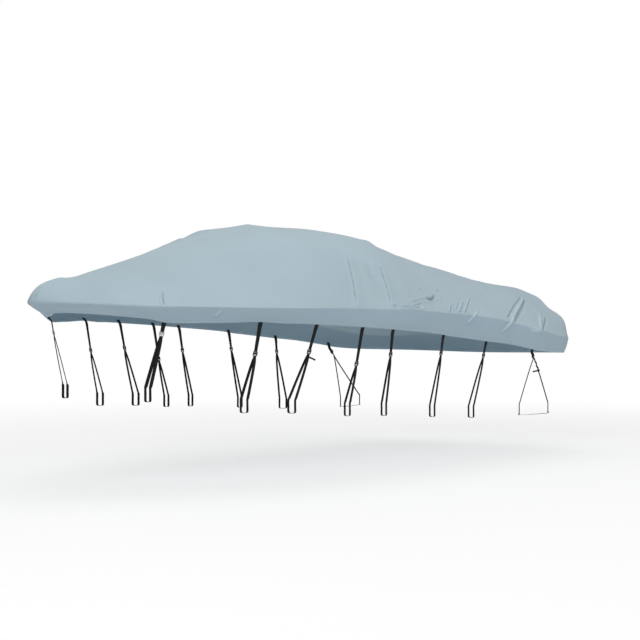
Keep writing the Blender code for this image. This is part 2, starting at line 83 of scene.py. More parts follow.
# --------------------------------------------------------------- the sections
# A row for each section, from the bow tip round the port side to the stern's middle.
SECTION_COLUMNS = ("x_g", "y_g", "z_g", "x_k", "y_k", "z_k", "full",
                   "x_s", "z_s", "drop", "tuck")
SECTIONS = {
    "nose":      (0.00, 0.000, 1.288, 0.050, 0.00, 1.440, 1.3, 0.34, 1.455, 0.088, 0.150),
    "nose_side": (0.03, 0.065, 1.287, 0.080, 0.03, 1.438, 1.25, 0.36, 1.457, 0.078, 0.180),
    "bow_a":     (0.17, 0.220, 1.282, 0.26, 0.12, 1.420, 1.0, 0.45, 1.475, 0.067, 0.140),
    "bow_b":     (0.48, 0.510, 1.268, 0.52, 0.28, 1.447, 1.0, 0.70, 1.538, 0.090, 0.090),
    "bow_c":     (0.92, 0.780, 1.261, 0.95, 0.42, 1.513, 1.0, 1.05, 1.631, 0.103, 0.080),
    "fore":      (1.45, 0.970, 1.252, 1.45, 0.58, 1.646, 1.0, 1.50, 1.755, 0.105, 0.070),
    "glass_fwd": (2.00, 1.070, 1.252, 2.00, 0.74, 1.790, 1.4, 1.95, 1.858, 0.133, 0.060),
    "glass":     (2.45, 1.120, 1.243, 2.40, 0.76, 1.813, 1.8, 2.25, 1.886, 0.153, 0.055),
    "glass_aft": (2.85, 1.140, 1.235, 2.75, 0.76, 1.829, 2.0, 2.70, 1.868, 0.173, 0.050),
    "seats":     (3.35, 1.140, 1.210, 3.30, 0.72, 1.734, 1.4, 3.25, 1.788, 0.186, 0.045),
    "cockpit":   (3.90, 1.130, 1.170, 3.85, 0.72, 1.632, 1.4, 3.80, 1.671, 0.196, 0.040),
    "quarter":   (4.45, 1.120, 1.100, 4.42, 0.76, 1.540, 1.5, 4.35, 1.561, 0.182, 0.040),
    "stern_a":   (4.97, 1.090, 1.025, 4.93, 0.80, 1.478, 1.7, 4.80, 1.517, 0.147, 0.040),
    "corner":    (5.322, 0.988, 0.993, 5.27, 0.80, 1.373, 2.0, 5.00, 1.504, 0.127, 0.034),
    "end_side":  (5.51, 0.740, 1.000, 5.44, 0.58, 1.370, 2.0, 5.10, 1.495, 0.140, 0.040),
    "end":       (5.56, 0.000, 1.000, 5.48, 0.00, 1.395, 2.0, 5.12, 1.490, 0.150, 0.040),
}

# The hem in plan round the nose, where the skirt turns in under the sharp bow:
# distance round the outline from the tip, x and half-width.
HEM_BOW = ((0.0, 0.148, 0.0), (0.0716, 0.177, 0.036), (0.28, 0.313, 0.132),
           (0.70, 0.588, 0.410))
HEM_BOW_RUN = (0.74, 0.67)     # then straight on: x and half-width for a metre
HEM_BOW_FADE = (0.45, 0.44)    # it gives way to the plain hem from here, over this

# How far the hem hangs below the section table's line: metres round the
# outline from the bow, metres down.
HEM_TRIM = ((0.00, 0.000), (0.036, -0.0065), (0.075, -0.0075), (0.16, -0.0065), (0.28, -0.0025),
            (0.40, -0.006), (0.54, -0.0095), (0.65, -0.0125), (0.77, -0.0095), (0.805, -0.0065),
            (0.84, -0.001), (0.875, 0.0055), (0.915, 0.013), (1.05, 0.0115), (1.12, 0.0085),
            (1.20, 0.005), (1.30, 0.003), (1.42, -0.001), (1.53, -0.006), (1.64, -0.0075),
            (1.75, -0.004), (1.85, -0.001), (1.92, -0.005), (2.04, -0.0068), (2.24, -0.0083),
            (2.45, -0.011), (2.72, -0.0135), (3.00, -0.0155), (3.31, -0.018), (3.51, -0.017),
            (3.65, -0.010), (4.16, -0.0095), (4.31, -0.013), (4.475, -0.017), (4.62, -0.0155),
            (4.71, -0.0137), (4.88, -0.0075), (4.97, -0.001), (5.06, 0.0015), (5.30, 0.0))

# ------------------------------------------------------------ lifts and folds
# Where a corner under the cloth lifts it: metres along the skirt line from the
# bow, metres up the cloth from that line, spreads and height.
LIFT_COLUMNS = ("side", "along", "up", "spread_along", "spread_up", "height")
LIFTS = {
    "glass_corner":      (-1, 3.24, 0.72, 0.10, 0.09, 0.014),
    "glass_tip":         (-1, 3.350, 0.790, 0.035, 0.055, 0.014),
    "glass_corner_far":  (+1, 3.24, 0.72, 0.10, 0.09, 0.014),
    "glass_front":       (-1, 2.25, 1.06, 0.070, 0.12, 0.008),
    "glass_front_far":   (+1, 2.24, 1.05, 0.070, 0.13, 0.022),
    "glass_side_far":    (+1, 1.76, 1.00, 0.10, 0.10, 0.008),
    "seat_back":         (-1, 4.42, 0.74, 0.22, 0.16, 0.014),
    "stern_dip":         (-1, 5.20, 0.80, 0.12, 0.14, -0.014),
    "stern_top":         (-1, 5.47, 0.55, 0.11, 0.16, 0.026),
    "stern_top_far":     (+1, 5.45, 0.55, 0.14, 0.18, 0.020),
    "stern_shoulder":    (-1, 5.575, 0.428, 0.085, 0.10, 0.025),
    "stern_corner":      (-1, 5.70, 0.160, 0.12, 0.115, 0.044),
    "screen_knuckle":    (+1, 2.01, 0.930, 0.05, 0.06, 0.012),
    "screen_edge":       (+1, 2.35, 1.20, 0.07, 0.08, 0.009),
    "stern_corner_far":  (+1, 5.70, 0.22, 0.15, 0.14, 0.024),
    "side_hollow":       (-1, 1.90, 0.42, 0.55, 0.16, -0.010),
    "side_hollow_far":   (+1, 2.10, 0.42, 0.60, 0.16, -0.010),
}

# What stands under the crown, in plan: x, y, reach, sharpness and height.
PEAK_COLUMNS = ("x", "y", "reach", "power", "height")
PEAKS = {
    "pole_tip":    (2.19, 0.0, 0.11, 1.0, 0.013),
    "deck_hook":   (0.26, 0.0, 0.06, 2.0, 0.007),
    "before_pole": (2.04, 0.0, 0.22, 2.0, -0.008),
    "after_pole":  (2.42, 0.0, 0.30, 2.0, -0.007),
}

# The same lifts as the part has them, for the places of the ties.
COARSE_LIFTS = {
    "glass_corner":      (-1, 3.24, 0.72, 0.10, 0.09, 0.016),
    "quarter_sag":       (-1, 4.60, 0.75, 0.45, 0.22, -0.012),
    "side_hollow":       (-1, 1.90, 0.42, 0.55, 0.16, -0.010),
    "side_hollow_far":   (+1, 2.10, 0.42, 0.60, 0.16, -0.010),
}

# Broad folds: two ends in the same coordinates (up is negative on the skirt),
# half-width and height of the ridge, and how far its trough lies towards the
# stern.
FOLD_COLUMNS = ("side", "along_0", "up_0", "along_1", "up_1",
                "half_width", "height", "trough")
COARSE_FOLDS = {          # as the part has them, for the places of the ties
    "tuck_top":      (-1, 3.20, 0.72, 2.79, 0.54, 0.050, 0.007, -0.05),
    "tuck_fore":     (-1, 2.79, 0.54, 2.47, 0.00, 0.045, 0.010, -0.05),
    "tuck_aft":      (-1, 3.10, 0.46, 2.84, 0.00, 0.045, 0.008, -0.05),
    "diagonal":      (-1, 3.53, 0.16, 2.92, 0.02, 0.040, 0.010, 0.05),
    "quarter_a":     (-1, 3.76, 0.13, 3.54, -0.02, 0.035, 0.008, 0.05),
    "quarter_b":     (-1, 3.93, 0.17, 3.71, 0.00, 0.035, 0.007, 0.05),
    "quarter_c":     (-1, 4.12, 0.22, 3.82, -0.06, 0.040, 0.010, 0.05),
    "long_fold":     (-1, 5.18, 0.42, 4.47, 0.02, 0.050, 0.016, 0.06),
    "long_fold_low": (-1, 4.54, 0.03, 4.34, -0.11, 0.045, 0.010, 0.06),
    "corner_fold":   (-1, 5.34, 0.26, 5.02, -0.02, 0.045, 0.012, 0.06),
    "fore_pinch":    (-1, 0.96, 0.17, 0.88, 0.00, 0.040, 0.005, 0.05),
    "far_tuck_fore": (+1, 3.10, 0.60, 2.70, 0.00, 0.050, 0.008, -0.05),
    "far_quarter":   (+1, 4.10, 0.24, 3.84, -0.04, 0.045, 0.009, 0.05),
    "far_corner":    (+1, 5.20, 0.40, 4.70, 0.00, 0.055, 0.014, 0.06),
}
BROAD_FOLDS = {"tuck_top": 0.35, "tuck_fore": 0.70, "tuck_aft": 0.70, "diagonal": 0.25,
               "far_tuck_fore": 1.0, "far_quarter": 1.0, "far_corner": 1.0}
FOLD_PAST_END = 0.03      # a fold ends this far past its two end points
FOLD_FADE = 0.09          # and fades over this length
FOLD_TROUGH = 0.75        # depth of its trough for the height of its ridge
END_FADE = 0.15           # broad shapes fade over this at the bow and the stern
MIDDLE_FADE = 0.12        # and over this at the centreline

# Fine creases.  Each has its side, its half-widths at its first and last
# point, how much wider its stern side is, the height of its ridge (negative
# for a valley), the height and offset of a lip on its stern side, the lengths
# over which its ends fade, and its points (along, up) from the skirt line up.
CREASE_COLUMNS = ("side", "width_0", "width_1", "aft_share", "height", "lip",
                  "lip_offset", "fade_0", "fade_1", "points")
CREASES = {
    "tuck_fore":      (-1, 0.0055, 0.0060, 1.3, -0.0076, 0.0018, 0.017, 0.08, 0.16,
                       ((2.468, 0.018), (2.523, 0.126), (2.563, 0.198), (2.601, 0.269),
                        (2.640, 0.333), (2.686, 0.405), (2.739, 0.479), (2.812, 0.572))),
    "tuck_aft":       (-1, 0.0055, 0.0065, 1.3, -0.0082, 0.0028, 0.018, 0.07, 0.05,
                       ((2.862, 0.035), (2.910, 0.130), (2.941, 0.196), (2.971, 0.265),
                        (3.015, 0.343), (3.066, 0.428))),
    "between_dark":   (-1, 0.040, 0.060, 1.0, -0.0034, 0.0, 0.0, 0.12, 0.14,
                       ((2.790, 0.140), (2.824, 0.256), (2.861, 0.357), (2.996, 0.500))),
    "between_light":  (-1, 0.022, 0.034, 1.0, 0.0036, 0.0, 0.0, 0.10, 0.12,
                       ((2.904, 0.300), (2.983, 0.418), (3.100, 0.540))),
    "tuck_knot":      (-1, 0.010, 0.010, 1.0, 0.0040, 0.0, 0.0, 0.02, 0.02,
                       ((3.070, 0.400), (3.098, 0.436))),
    "pocket":         (-1, 0.0035, 0.0120, 1.0, -0.0120, 0.0030, 0.024, 0.05, 0.016,
                       ((3.352, 0.121), (3.412, 0.124), (3.480, 0.132), (3.544, 0.166))),
    "pocket_low":     (-1, 0.0070, 0.0100, 1.0, -0.0085, 0.0, 0.0, 0.02, 0.03,
                       ((3.385, 0.102), (3.463, 0.116), (3.520, 0.145))),
    "pocket_rim":     (-1, 0.006, 0.009, 1.0, 0.0035, 0.0, 0.0, 0.06, 0.03,
                       ((3.330, 0.136), (3.440, 0.150), (3.560, 0.192))),
    "diagonal_up":    (-1, 0.0045, 0.0045, 1.0, -0.0036, 0.0016, -0.012, 0.08, 0.03,
                       ((3.109, 0.059), (3.227, 0.089), (3.357, 0.120))),
    "diagonal_low":   (-1, 0.0048, 0.0048, 1.0, -0.0046, 0.0022, -0.013, 0.03, 0.06,
                       ((3.068, 0.013), (3.131, 0.029), (3.187, 0.050), (3.298, 0.072))),
    "ripple_high":    (-1, 0.0050, 0.0050, 1.0, 0.0062, 0.0, 0.0, 0.03, 0.04,
                       ((2.960, 0.035), (3.000, 0.037), (3.110, 0.039))),
    "ripple_dark":    (-1, 0.0040, 0.0040, 1.0, -0.0018, 0.0, 0.0, 0.03, 0.03,
                       ((2.972, 0.021), (3.030, 0.023), (3.084, 0.023))),
    "ripple_low":     (-1, 0.0045, 0.0045, 1.0, 0.0070, 0.0, 0.0, 0.03, 0.03,
                       ((2.935, 0.014), (3.003, 0.009), (3.082, 0.011), (3.117, 0.008),
                        (3.195, 0.009))),
    "ripple_patch":   (-1, 0.010, 0.012, 1.0, 0.0055, 0.0, 0.0, 0.03, 0.04,
                       ((3.190, 0.018), (3.290, 0.040))),
    "ripple_mid":     (-1, 0.0050, 0.0050, 1.0, 0.0075, 0.0, 0.0, 0.02, 0.03,
                       ((3.115, 0.028), (3.234, 0.044))),
    "ripple_end":     (-1, 0.0045, 0.0045, 1.0, 0.0080, 0.0, 0.0, 0.02, 0.02,
                       ((3.165, 0.009), (3.250, 0.007))),
    "dash_a":         (-1, 0.0060, 0.0060, 1.0, -0.0050, 0.0, 0.0, 0.010, 0.010,
                       ((3.372, 0.215), (3.418, 0.206))),
    "dash_b":         (-1, 0.0050, 0.0050, 1.0, -0.0040, 0.0, 0.0, 0.012, 0.012,
                       ((3.120, 0.117), (3.176, 0.125))),
    "dash_c":         (-1, 0.0065, 0.0065, 1.0, -0.0055, -0.0040, 0.014, 0.012, 0.012,
                       ((3.632, 0.228), (3.699, 0.239))),
    "dash_d":         (-1, 0.0048, 0.0048, 1.0, -0.0055, 0.0040, -0.012, 0.012, 0.012,
                       ((3.586, 0.111), (3.627, 0.161))),
    "ripple_start":   (-1, 0.005, 0.005, 1.0, 0.0080, 0.0, 0.0, 0.02, 0.02,
                       ((2.862, 0.041), (2.925, 0.043))),
    "quarter_a":      (-1, 0.0062, 0.0055, 0.9, 0.0070, -0.0046, 0.0100, 0.03, 0.04,
                       ((3.566, 0.004), (3.640, 0.058), (3.716, 0.116))),
    "quarter_b":      (-1, 0.0055, 0.0050, 0.9, 0.0048, -0.0032, 0.0095, 0.03, 0.04,
                       ((3.712, 0.050), (3.780, 0.095), (3.842, 0.140))),
    "quarter_c":      (-1, 0.0065, 0.0055, 0.9, 0.0078, -0.0050, 0.0105, 0.03, 0.04,
                       ((3.722, 0.018), (3.850, 0.102), (3.943, 0.166))),
    "quarter_d":      (-1, 0.0068, 0.0055, 0.9, 0.0078, -0.0048, 0.0110, 0.03, 0.05,
                       ((3.805, 0.022), (3.980, 0.134), (4.130, 0.224))),
    "crossing":       (-1, 0.0060, 0.0056, 1.5, 0.0105, 0.0, 0.0, 0.04, 0.08,
                       ((3.832, -0.075), (3.930, -0.004), (4.070, 0.068))),
    "long_valley":    (-1, 0.0072, 0.0074, 1.0, -0.0080, 0.0, 0.0, 0.06, 0.06,
                       ((4.480, 0.034), (4.677, 0.146), (4.847, 0.242),
                        (4.996, 0.322), (5.195, 0.424))),
    "long_ridge":     (-1, 0.0120, 0.0110, 1.0, 0.0125, 0.0, 0.0, 0.07, 0.06,
                       ((4.545, 0.034), (4.728, 0.137), (4.885, 0.226),
                        (5.025, 0.306), (5.195, 0.400))),
    "long_wall":      (-1, 0.0095, 0.0085, 1.8, -0.0085, 0.0015, 0.034, 0.06, 0.07,
                       ((4.572, 0.022), (4.746, 0.112), (4.923, 0.216),
                        (5.040, 0.292), (5.218, 0.400))),
    "long_tail":      (-1, 0.0062, 0.0064, 1.6, 0.0125, 0.0, 0.0, 0.04, 0.07,
                       ((4.362, -0.104), (4.442, -0.040), (4.535, 0.018), (4.650, 0.078))),
    "pucker_a":       (-1, 0.006, 0.006, 1.0, 0.0022, 0.0, 0.0, 0.03, 0.03,
                       ((4.376, 0.034), (4.461, 0.104))),
    "pucker_b":       (-1, 0.006, 0.006, 1.0, -0.0024, 0.0, 0.0, 0.03, 0.03,
                       ((4.412, 0.036), (4.500, 0.104))),
    "stern_a":        (-1, 0.007, 0.007, 1.0, -0.0022, 0.0016, 0.018, 0.05, 0.05,
                       ((5.045, 0.214), (5.182, 0.326))),
    "stern_b":        (-1, 0.007, 0.007, 1.0, -0.0022, 0.0016, 0.018, 0.05, 0.05,
                       ((5.110, 0.225), (5.230, 0.320))),
    "corner_ridge":   (-1, 0.0180, 0.0130, 0.9, 0.0095, 0.0, 0.0, 0.03, 0.07,
                       ((4.985, -0.006), (5.095, 0.100), (5.230, 0.212))),
    "corner_line":    (-1, 0.0055, 0.0055, 1.0, -0.0058, 0.0, 0.0, 0.06, 0.04,
                       ((5.170, 0.125), (5.245, 0.187), (5.326, 0.252))),
    "corner_valley":  (-1, 0.0105, 0.0070, 1.0, -0.0110, 0.0020, 0.026, 0.02, 0.06,
                       ((5.036, 0.002), (5.122, 0.060), (5.213, 0.119), (5.326, 0.196))),
    "corner_dot":     (-1, 0.0070, 0.0070, 1.0, 0.0060, 0.0, 0.0, 0.01, 0.01,
                       ((5.095, 0.018), (5.120, 0.036))),
    "corner_flare":   (-1, 0.0260, 0.0240, 0.25, 0.0120, 0.0, 0.0, 0.05, 0.05,
                       ((4.800, -0.030), (4.905, -0.027), (5.010, -0.016))),
    "fore_pinch":     (-1, 0.0050, 0.0050, 1.0, -0.0080, 0.0, 0.0, 0.02, 0.06,
                       ((0.888, 0.008), (0.911, 0.064), (0.942, 0.127), (0.980, 0.204))),
    "pinch_light":    (-1, 0.0075, 0.0060, 1.0, 0.0066, 0.0, 0.0, 0.02, 0.06,
                       ((0.872, 0.006), (0.888, 0.046), (0.916, 0.106), (0.948, 0.170))),
    "pinch_foot":     (-1, 0.0090, 0.0080, 1.0, 0.0060, 0.0, 0.0, 0.012, 0.012,
                       ((0.868, -0.012), (0.886, 0.012))),
    "skirt_crease":   (-1, 0.0056, 0.0056, 1.6, 0.0098, -0.0030, -0.013, 0.02, 0.03,
                       ((1.248, -0.078), (1.272, -0.045), (1.298, -0.008))),
    "bow_pucker":     (-1, 0.010, 0.010, 1.0, 0.0028, 0.0, 0.0, 0.02, 0.02,
                       ((0.415, -0.016), (0.470, 0.010))),
    "nose_line":      (-1, 0.0060, 0.0060, 1.0, -0.0045, 0.0, 0.0, 0.03, 0.03,
                       ((0.024, 0.004), (0.030, 0.060), (0.034, 0.140))),
    "far_tuck":       (+1, 0.010, 0.012, 1.2, -0.0080, 0.0030, 0.024, 0.06, 0.12,
                       ((2.700, 0.010), (2.840, 0.200), (2.950, 0.380), (3.080, 0.570))),
    "far_quarter_a":  (+1, 0.012, 0.012, 1.0, 0.0060, -0.0050, 0.020, 0.04, 0.06,
                       ((3.850, 0.010), (4.110, 0.230))),
    "far_quarter_b":  (+1, 0.012, 0.012, 1.0, 0.0045, -0.0035, 0.020, 0.04, 0.06,
                       ((3.740, 0.010), (3.930, 0.150))),
    "far_long":       (+1, 0.012, 0.014, 1.0, -0.0090, 0.0100, 0.028, 0.06, 0.08,
                       ((4.640, 0.030), (4.900, 0.250), (5.150, 0.420))),
}
# Along its way a crease swells and shrinks by sines: the share of its height,
# how fast it goes in a metre, and how far each crease is ahead of the last.
CREASE_UNEVEN = ((0.16, 61.0, 1.7), (0.10, 137.0, 1.0))
CREASE_ENDS = 0.65        # share of its width that is left at its ends
CREASE_REACH = 3.5        # how many widths from its line it can be felt
CREASE_BOW_FADE = 0.02    # they all fade over this at the bow's line

# Slow unevenness of the cloth: waves round the outline and up the cloth.
WAVE_COLUMNS = ("length_along", "length_up", "phase", "height")
WAVES = {
    "slow":    (1.30, 2.10, 0.4, 0.0016),
    "lean":    (0.62, -1.10, 2.1, 0.0010),
    "quick":   (0.37, 0.90, 4.0, 0.0006),
    "cross":   (-0.85, 0.48, 1.3, 0.0008),
    "short":   (0.23, -0.55, 5.2, 0.0004),
    "level":   (2.60, 0.33, 3.0, 0.0007),
}
WAVES_GROW = (2.2, 2.0)   # they grow towards the stern from here, over this
WAVES_SHARE = (0.6, 0.8)  # share of them up to there, and how much more past it
WAVES_AHEAD = 2.0         # how far the starboard waves are ahead, in radians

# ---------------------------------------------------------- hem and its stitches
HEM_BAND = 0.0235         # height of the turned band at the hem
HEM_PROUD = 0.0009        # how far it stands proud of the cloth
HEM_STEP = 0.0024         # width of the step at its top
SEAM_DEPTH = 0.0005       # depth that its stitches pull the cloth in
SEAM_WIDTH = 0.0016
HEM_STITCH = (0.74, 0.0013, 0.0006)   # share of the pitch, width and height
STITCH_AHEAD = 0.002      # how far on the seam is looked at for its direction
STITCH_OFF = 0.0002       # how far a hem stitch lies off the cloth
HEM_EDGE = ((0.22, 0.0011), (0.50, 0.0016), (0.78, 0.0011))   # share in, down
HEM_EDGE_UP = -0.2        # the edge's place up the cloth, so that its finish gives it the skirt's painted shade
RELIEF_FROM_HEM = 0.004   # creases start this far above the hem's edge
RELIEF_FADE = 0.05        # and are whole this much further up
LINING_AT_BAND = 0.0012   # how much thicker the cloth is at the band
LINING_CELL = 0.030       # the lining keeps below the creases of these cells
LINE_SHARPENS = (0.25, 1.15)      # the skirt line's crease sharpens from here, over this

# ------------------------------------------------------------------- the ties
# The place along the skirt line, the outer lower corner of the loop, its gap,
# how far aft its inner side lies, the hanger's length and the webbing's width.
TIE_COLUMNS = ("along", "base_x", "base_y", "base_z", "gap", "inner_aft",
               "hanger", "web")
TIES = {
    "bow":     (0.906, 0.690, 0.422, 0.630, 0.045, 0.000, 0.075, 0.024),
    "fore_a":  (1.633, 1.327, 0.734, 0.537, 0.060, 0.000, 0.200, 0.023),
    "fore_b":  (2.133, 1.770, 0.800, 0.515, 0.062, 0.000, 0.175, 0.024),
    "mid_a":   (2.590, 2.251, 0.923, 0.477, 0.046, 0.000, 0.240, 0.023),
    "mid_b":   (2.928, 2.610, 0.990, 0.463, 0.042, 0.000, 0.150, 0.023),
    "mid_c":   (3.571, 3.235, 1.000, 0.423, 0.044, 0.000, 0.105, 0.023),
    "aft_a":   (4.190, 3.790, 1.000, 0.388, 0.060, 0.020, 0.085, 0.024),
    "aft_b":   (4.934, 4.960, 1.000, 0.365, 0.060, -0.370, 0.030, 0.014),
}
LEG_SHARES = (0.10, 0.30, 0.62, 0.93)   # points of each leg, from its neck
LEG_OPENS = 0.55          # how early the legs open: a smaller power is earlier
BASE_CORNER = 0.12        # share of the gap that a lower corner takes
BASE_TURN = 0.06          # share of the height where it starts to turn
BASE_DROP = 0.006         # drop of the webbing at a corner
BASE_SAG = 0.008          # and in the middle
TIE_STITCH = (0.0026, 0.0009, 0.0004)   # length, width and height of a stitch
HANGER_TURN = 0.30              # share of its length where it has turned down
HANGER_PAST_SLANT = 0.004       # or this far past its slant, where that is more
HANGER_LAYERS = ((-1, 1.0), (1, 0.985))     # side, and share of the width
HANGER_LAYER_THICK = 0.96       # share of half the thickness
HANGER_STEPS = 6                # from one point of its route to the next
TIE_STEPS = 5
HANGER_SEAMS = (0.12, 0.22)     # rows of stitches: shares of the way up from its end
HANGER_SEAM_PITCH = 0.0034
TIE_SEAMS = (0.25, 0.70)        # shares of the way down the neck
TIE_SEAM_PITCH = 0.17           # share of the webbing's width
# Section of the webbing: shares of half its width and half its thickness.
WEB_PROFILE = ((-1.0, -0.25), (-0.985, -0.75), (-0.93, -1.0), (0.0, -1.06), (0.93, -1.0),
               (0.985, -0.75), (1.0, -0.25), (1.0, 0.25), (0.985, 0.75), (0.93, 1.0),
               (0.0, 1.06), (-0.93, 1.0), (-0.985, 0.75), (-1.0, 0.25))
WEB_RIB = 0.0022          # spacing of the ribs across the webbing
WEB_RIB_WAVE = 0.0040     # spacing of the waves in a rib

# Loose ends: length, how far below the buckle, direction, and 1 where the
# webbing lies double down to a slide.
TAIL_COLUMNS = ("length", "below", "aft", "down", "out", "doubled")
TAILS = {
    "fore_b": (0.060, 0.022, 0.80, 0.15, 0.45, 0.0),
    "aft_b":  (0.052, 0.150, -0.80, 0.12, -0.55, 1.0),
}
TAIL_POINTS = 9
TAIL_ARCH = 0.004
TAIL_DROOP = 0.006
TAIL_FOLD = 0.009         # length of the fold sewn at its tip
DOUBLED_POINTS = 13
DOUBLED_WIDTH = 1.35      # for the width of a loose end
DOUBLED_OFF = 0.0030      # how far it lies off the webbing below
DOUBLED_SLACK = ((0.0022, 1.5), (0.0028, 1.1))   # its sway out and aside: height, rate
SLIDE_SIZE = (TAIL_WIDTH * 1.7, 0.016, 0.010)
SLIDE_ROUND = 0.0022

# The buckle, in metres: across, down from its top edge and out from the web.
METAL_BUCKLES = ("bow",)
RAIL_SIZE = (0.0048, BUCKLE_HEIGHT - 0.001, 0.0085)
RAIL_ROUND = 0.0016       # bevel of its edges
BARS = ((0.0028, 0.0026), (0.0165, 0.0024), (BUCKLE_HEIGHT - 0.0028, 0.0026))   # place, radius
BAR_LENGTH = BUCKLE_WIDTH - 0.006
BAR_FLAT = 0.85           # share of its width that a bar is thick
LEVER_PLACE = (0, 0.0135, 0.0046)
LEVER_SIZE = (BUCKLE_WIDTH - 0.0105, 0.0165, 0.0030)
LEVER_TILT = -0.10
LEVER_ROUND = 0.0011
RIBS = tuple((0.0085 + k * 0.0026, 0.0062 - k * 0.00022) for k in range(4))
RIB_LENGTH = BUCKLE_WIDTH - 0.015
RIB_RADIUS = 0.0006
PAD_PLACE = (0, 0.0165, -0.0040)
PAD_SIZE = (BUCKLE_WIDTH - 0.0105, 0.0120, 0.0024)
PAD_ROUND = 0.0009

SIDES = ((-1, "port"), (+1, "starboard"))

# ----------------------------------------------------------------- mesh steps
# The part's own columns, which place the ties: (up to this distance, step).
COARSE_STEPS = ((0.06, 0.030), (0.28, 0.055), (0.70, 0.085), (2.30, 0.150),
                (5.40, 0.094), (6.05, 0.085), (6.60, 0.150))
COARSE_END_STEP = 0.16    # past the last of them
# Its rings: shares of the way down the skirt, then up to the centreline.
COARSE_SKIRT = (1.0, 0.55)
COARSE_TOP = (0.0, 0.025, 0.060, 0.10, 0.15, 0.21, 0.28, 0.35, 0.42, 0.50,
              0.58, 0.67, 0.76, 0.88, 1.0)
# Columns of the fine cloth, counted where they cross the skirt line: (up to this
# distance, step).  They lean with the folds: (distance, metres towards the
# stern for a metre up the cloth).
PORT_STEPS = ((0.06, 0.006), (0.40, 0.020), (0.82, 0.036), (0.95, 0.0040),
              (1.26, 0.034), (1.34, 0.0045), (2.40, 0.042), (2.505, 0.0032),
              (2.80, 0.014), (2.90, 0.0032), (3.00, 0.010), (3.42, 0.0065),
              (3.53, 0.010), (3.98, 0.0036), (4.33, 0.013), (4.60, 0.0038),
              (4.90, 0.012), (5.08, 0.0040), (5.40, 0.014), (6.10, 0.036), (9.0, 0.050))
STARBOARD_STEPS = ((0.12, 0.015), (0.70, 0.032), (2.60, 0.055), (2.95, 0.016),
                   (3.62, 0.045), (3.92, 0.014), (4.50, 0.040), (4.80, 0.014),
                   (6.10, 0.040), (9.0, 0.060))
LINING_STEPS = ((0.12, 0.020), (0.70, 0.036), (2.40, 0.070), (5.40, 0.060), (9.0, 0.060))
LEAN_WHOLE = 0.35         # they lean up to this height on the cloth
LEAN_FADE = 0.90          # and come back over this
LEANS = ((0.0, 0.0), (0.60, 0.0), (0.87, 0.53), (1.29, 0.55), (2.00, 0.40), (2.45, 0.55),
         (2.84, 0.50), (3.30, 1.00), (3.60, 1.42), (3.95, 1.55), (4.45, 1.75),
         (4.75, 1.50), (5.00, 1.12), (5.50, 0.35), (6.00, 0.0), (7.0, 0.0))
# Rows of the fine cloth.  Skirt rows are metres up from the hem edge, then
# metres below the skirt line; top rows are metres up at the widest section.
SKIRT_FROM_HEM = {
    "port": (0.0, 0.0020, 0.0060, 0.0120, 0.0185, 0.0222, 0.0248, 0.0290, 0.0400, 0.0520),
    "starboard": (0.0, 0.0060, 0.0185, 0.0248, 0.0520),
    "lining": (0.0, 0.0248),
}
SKIRT_TO_LINE = {
    "port": (0.0320, 0.0220, 0.0145, 0.0085, 0.0040, 0.0),
    "starboard": (0.0220, 0.0085, 0.0),
    "lining": (0.0220, 0.0085, 0.0),
}
SKIRT_BETWEEN = {"port": 6, "starboard": 2, "lining": 1}
TOP_REFERENCE = 1.33      # the cloth's reach there, skirt line to centreline
TOP_ROWS = {
    "port": ((0.21, 0.0046), (0.46, 0.0105), (0.62, 0.0170), (0.86, 0.0240), (9.0, 0.0620)),
    "starboard": ((0.020, 0.0060), (0.45, 0.0180), (0.80, 0.0350), (9.0, 0.0700)),
    "lining": ((0.020, 0.0100), (0.60, 0.0420), (9.0, 0.0700)),
}
# How finely the plain surface is sampled before its rows and columns are laid.
OUTLINE_SAMPLES = 1200
FINE_SAMPLES = 2400
SKIRT_SAMPLES = 24
TOP_SAMPLES = 220

# ------------------------------------------------------------------ the stage
LAMP_COLUMNS = ("place", "size", "share")     # share of the key light's power
LAMPS = {
    "bow_light":       ((-10.0, -5.0, 5.0), 4.0, 1.0),
    "overhead_light":  ((0.5, 0.0, 8.5), 8.0, 0.59),
    "port_light":      ((3.0, -9.0, 4.0), 4.0, 0.54),
    "starboard_light": ((2.0, 10.0, 4.0), 5.0, 0.34),
}
LAMP_AIM = (0.4, 0.0, -0.7)
FLOOR_CENTRE = (0.5, 0.0)
FLOOR_FADE = (0.30, 0.96, 0.35)     # shares of its radius, and how much it fades


# ---------------------------------------------------------- the cloth's surface
def smooth_curve(knots, values, s):
    """Cubic through the values, with the slope at each knot taken from its
    neighbours."""
    i = np.clip(np.searchsorted(knots, s) - 1, 0, len(knots) - 2)

    def slope(j):
        a = np.clip(j - 1, 0, len(knots) - 1)
        b = np.clip(j + 1, 0, len(knots) - 1)
        return (values[b] - values[a]) / (knots[b] - knots[a])

    h = knots[i + 1] - knots[i]
    u = (s - knots[i]) / h
    return ((2 * u**3 - 3 * u**2 + 1) * values[i] + (u**3 - 2 * u**2 + u) * slope(i) * h
            + (-2 * u**3 + 3 * u**2) * values[i + 1] + (u**3 - u**2) * slope(i + 1) * h)


def section_knots():
    """How far round the outline each section is."""
    g = np.array([row[:2] for row in SECTIONS.values()])
    return np.concatenate([[0.0], np.cumsum(np.linalg.norm(np.diff(g, axis=0), axis=1))])


def section_values(s):
    """Every column of the section table at the distances s round the outline.
    _g is the skirt line, _k the curve's handle and _s the centreline."""
    knots = section_knots()
    rows = np.array(list(SECTIONS.values()))
    wide = np.concatenate([[-knots[1]], knots, [2 * knots[-1] - knots[-2]]])
    found = {}
    for c, name in enumerate(SECTION_COLUMNS):
        flip = -1.0 if name in ("y_g", "y_k") else 1.0
        column = rows[:, c]
        padded = np.concatenate([[flip * column[1]], column, [flip * column[-2]]])
        found[name] = smooth_curve(wide, padded, s)
    return found


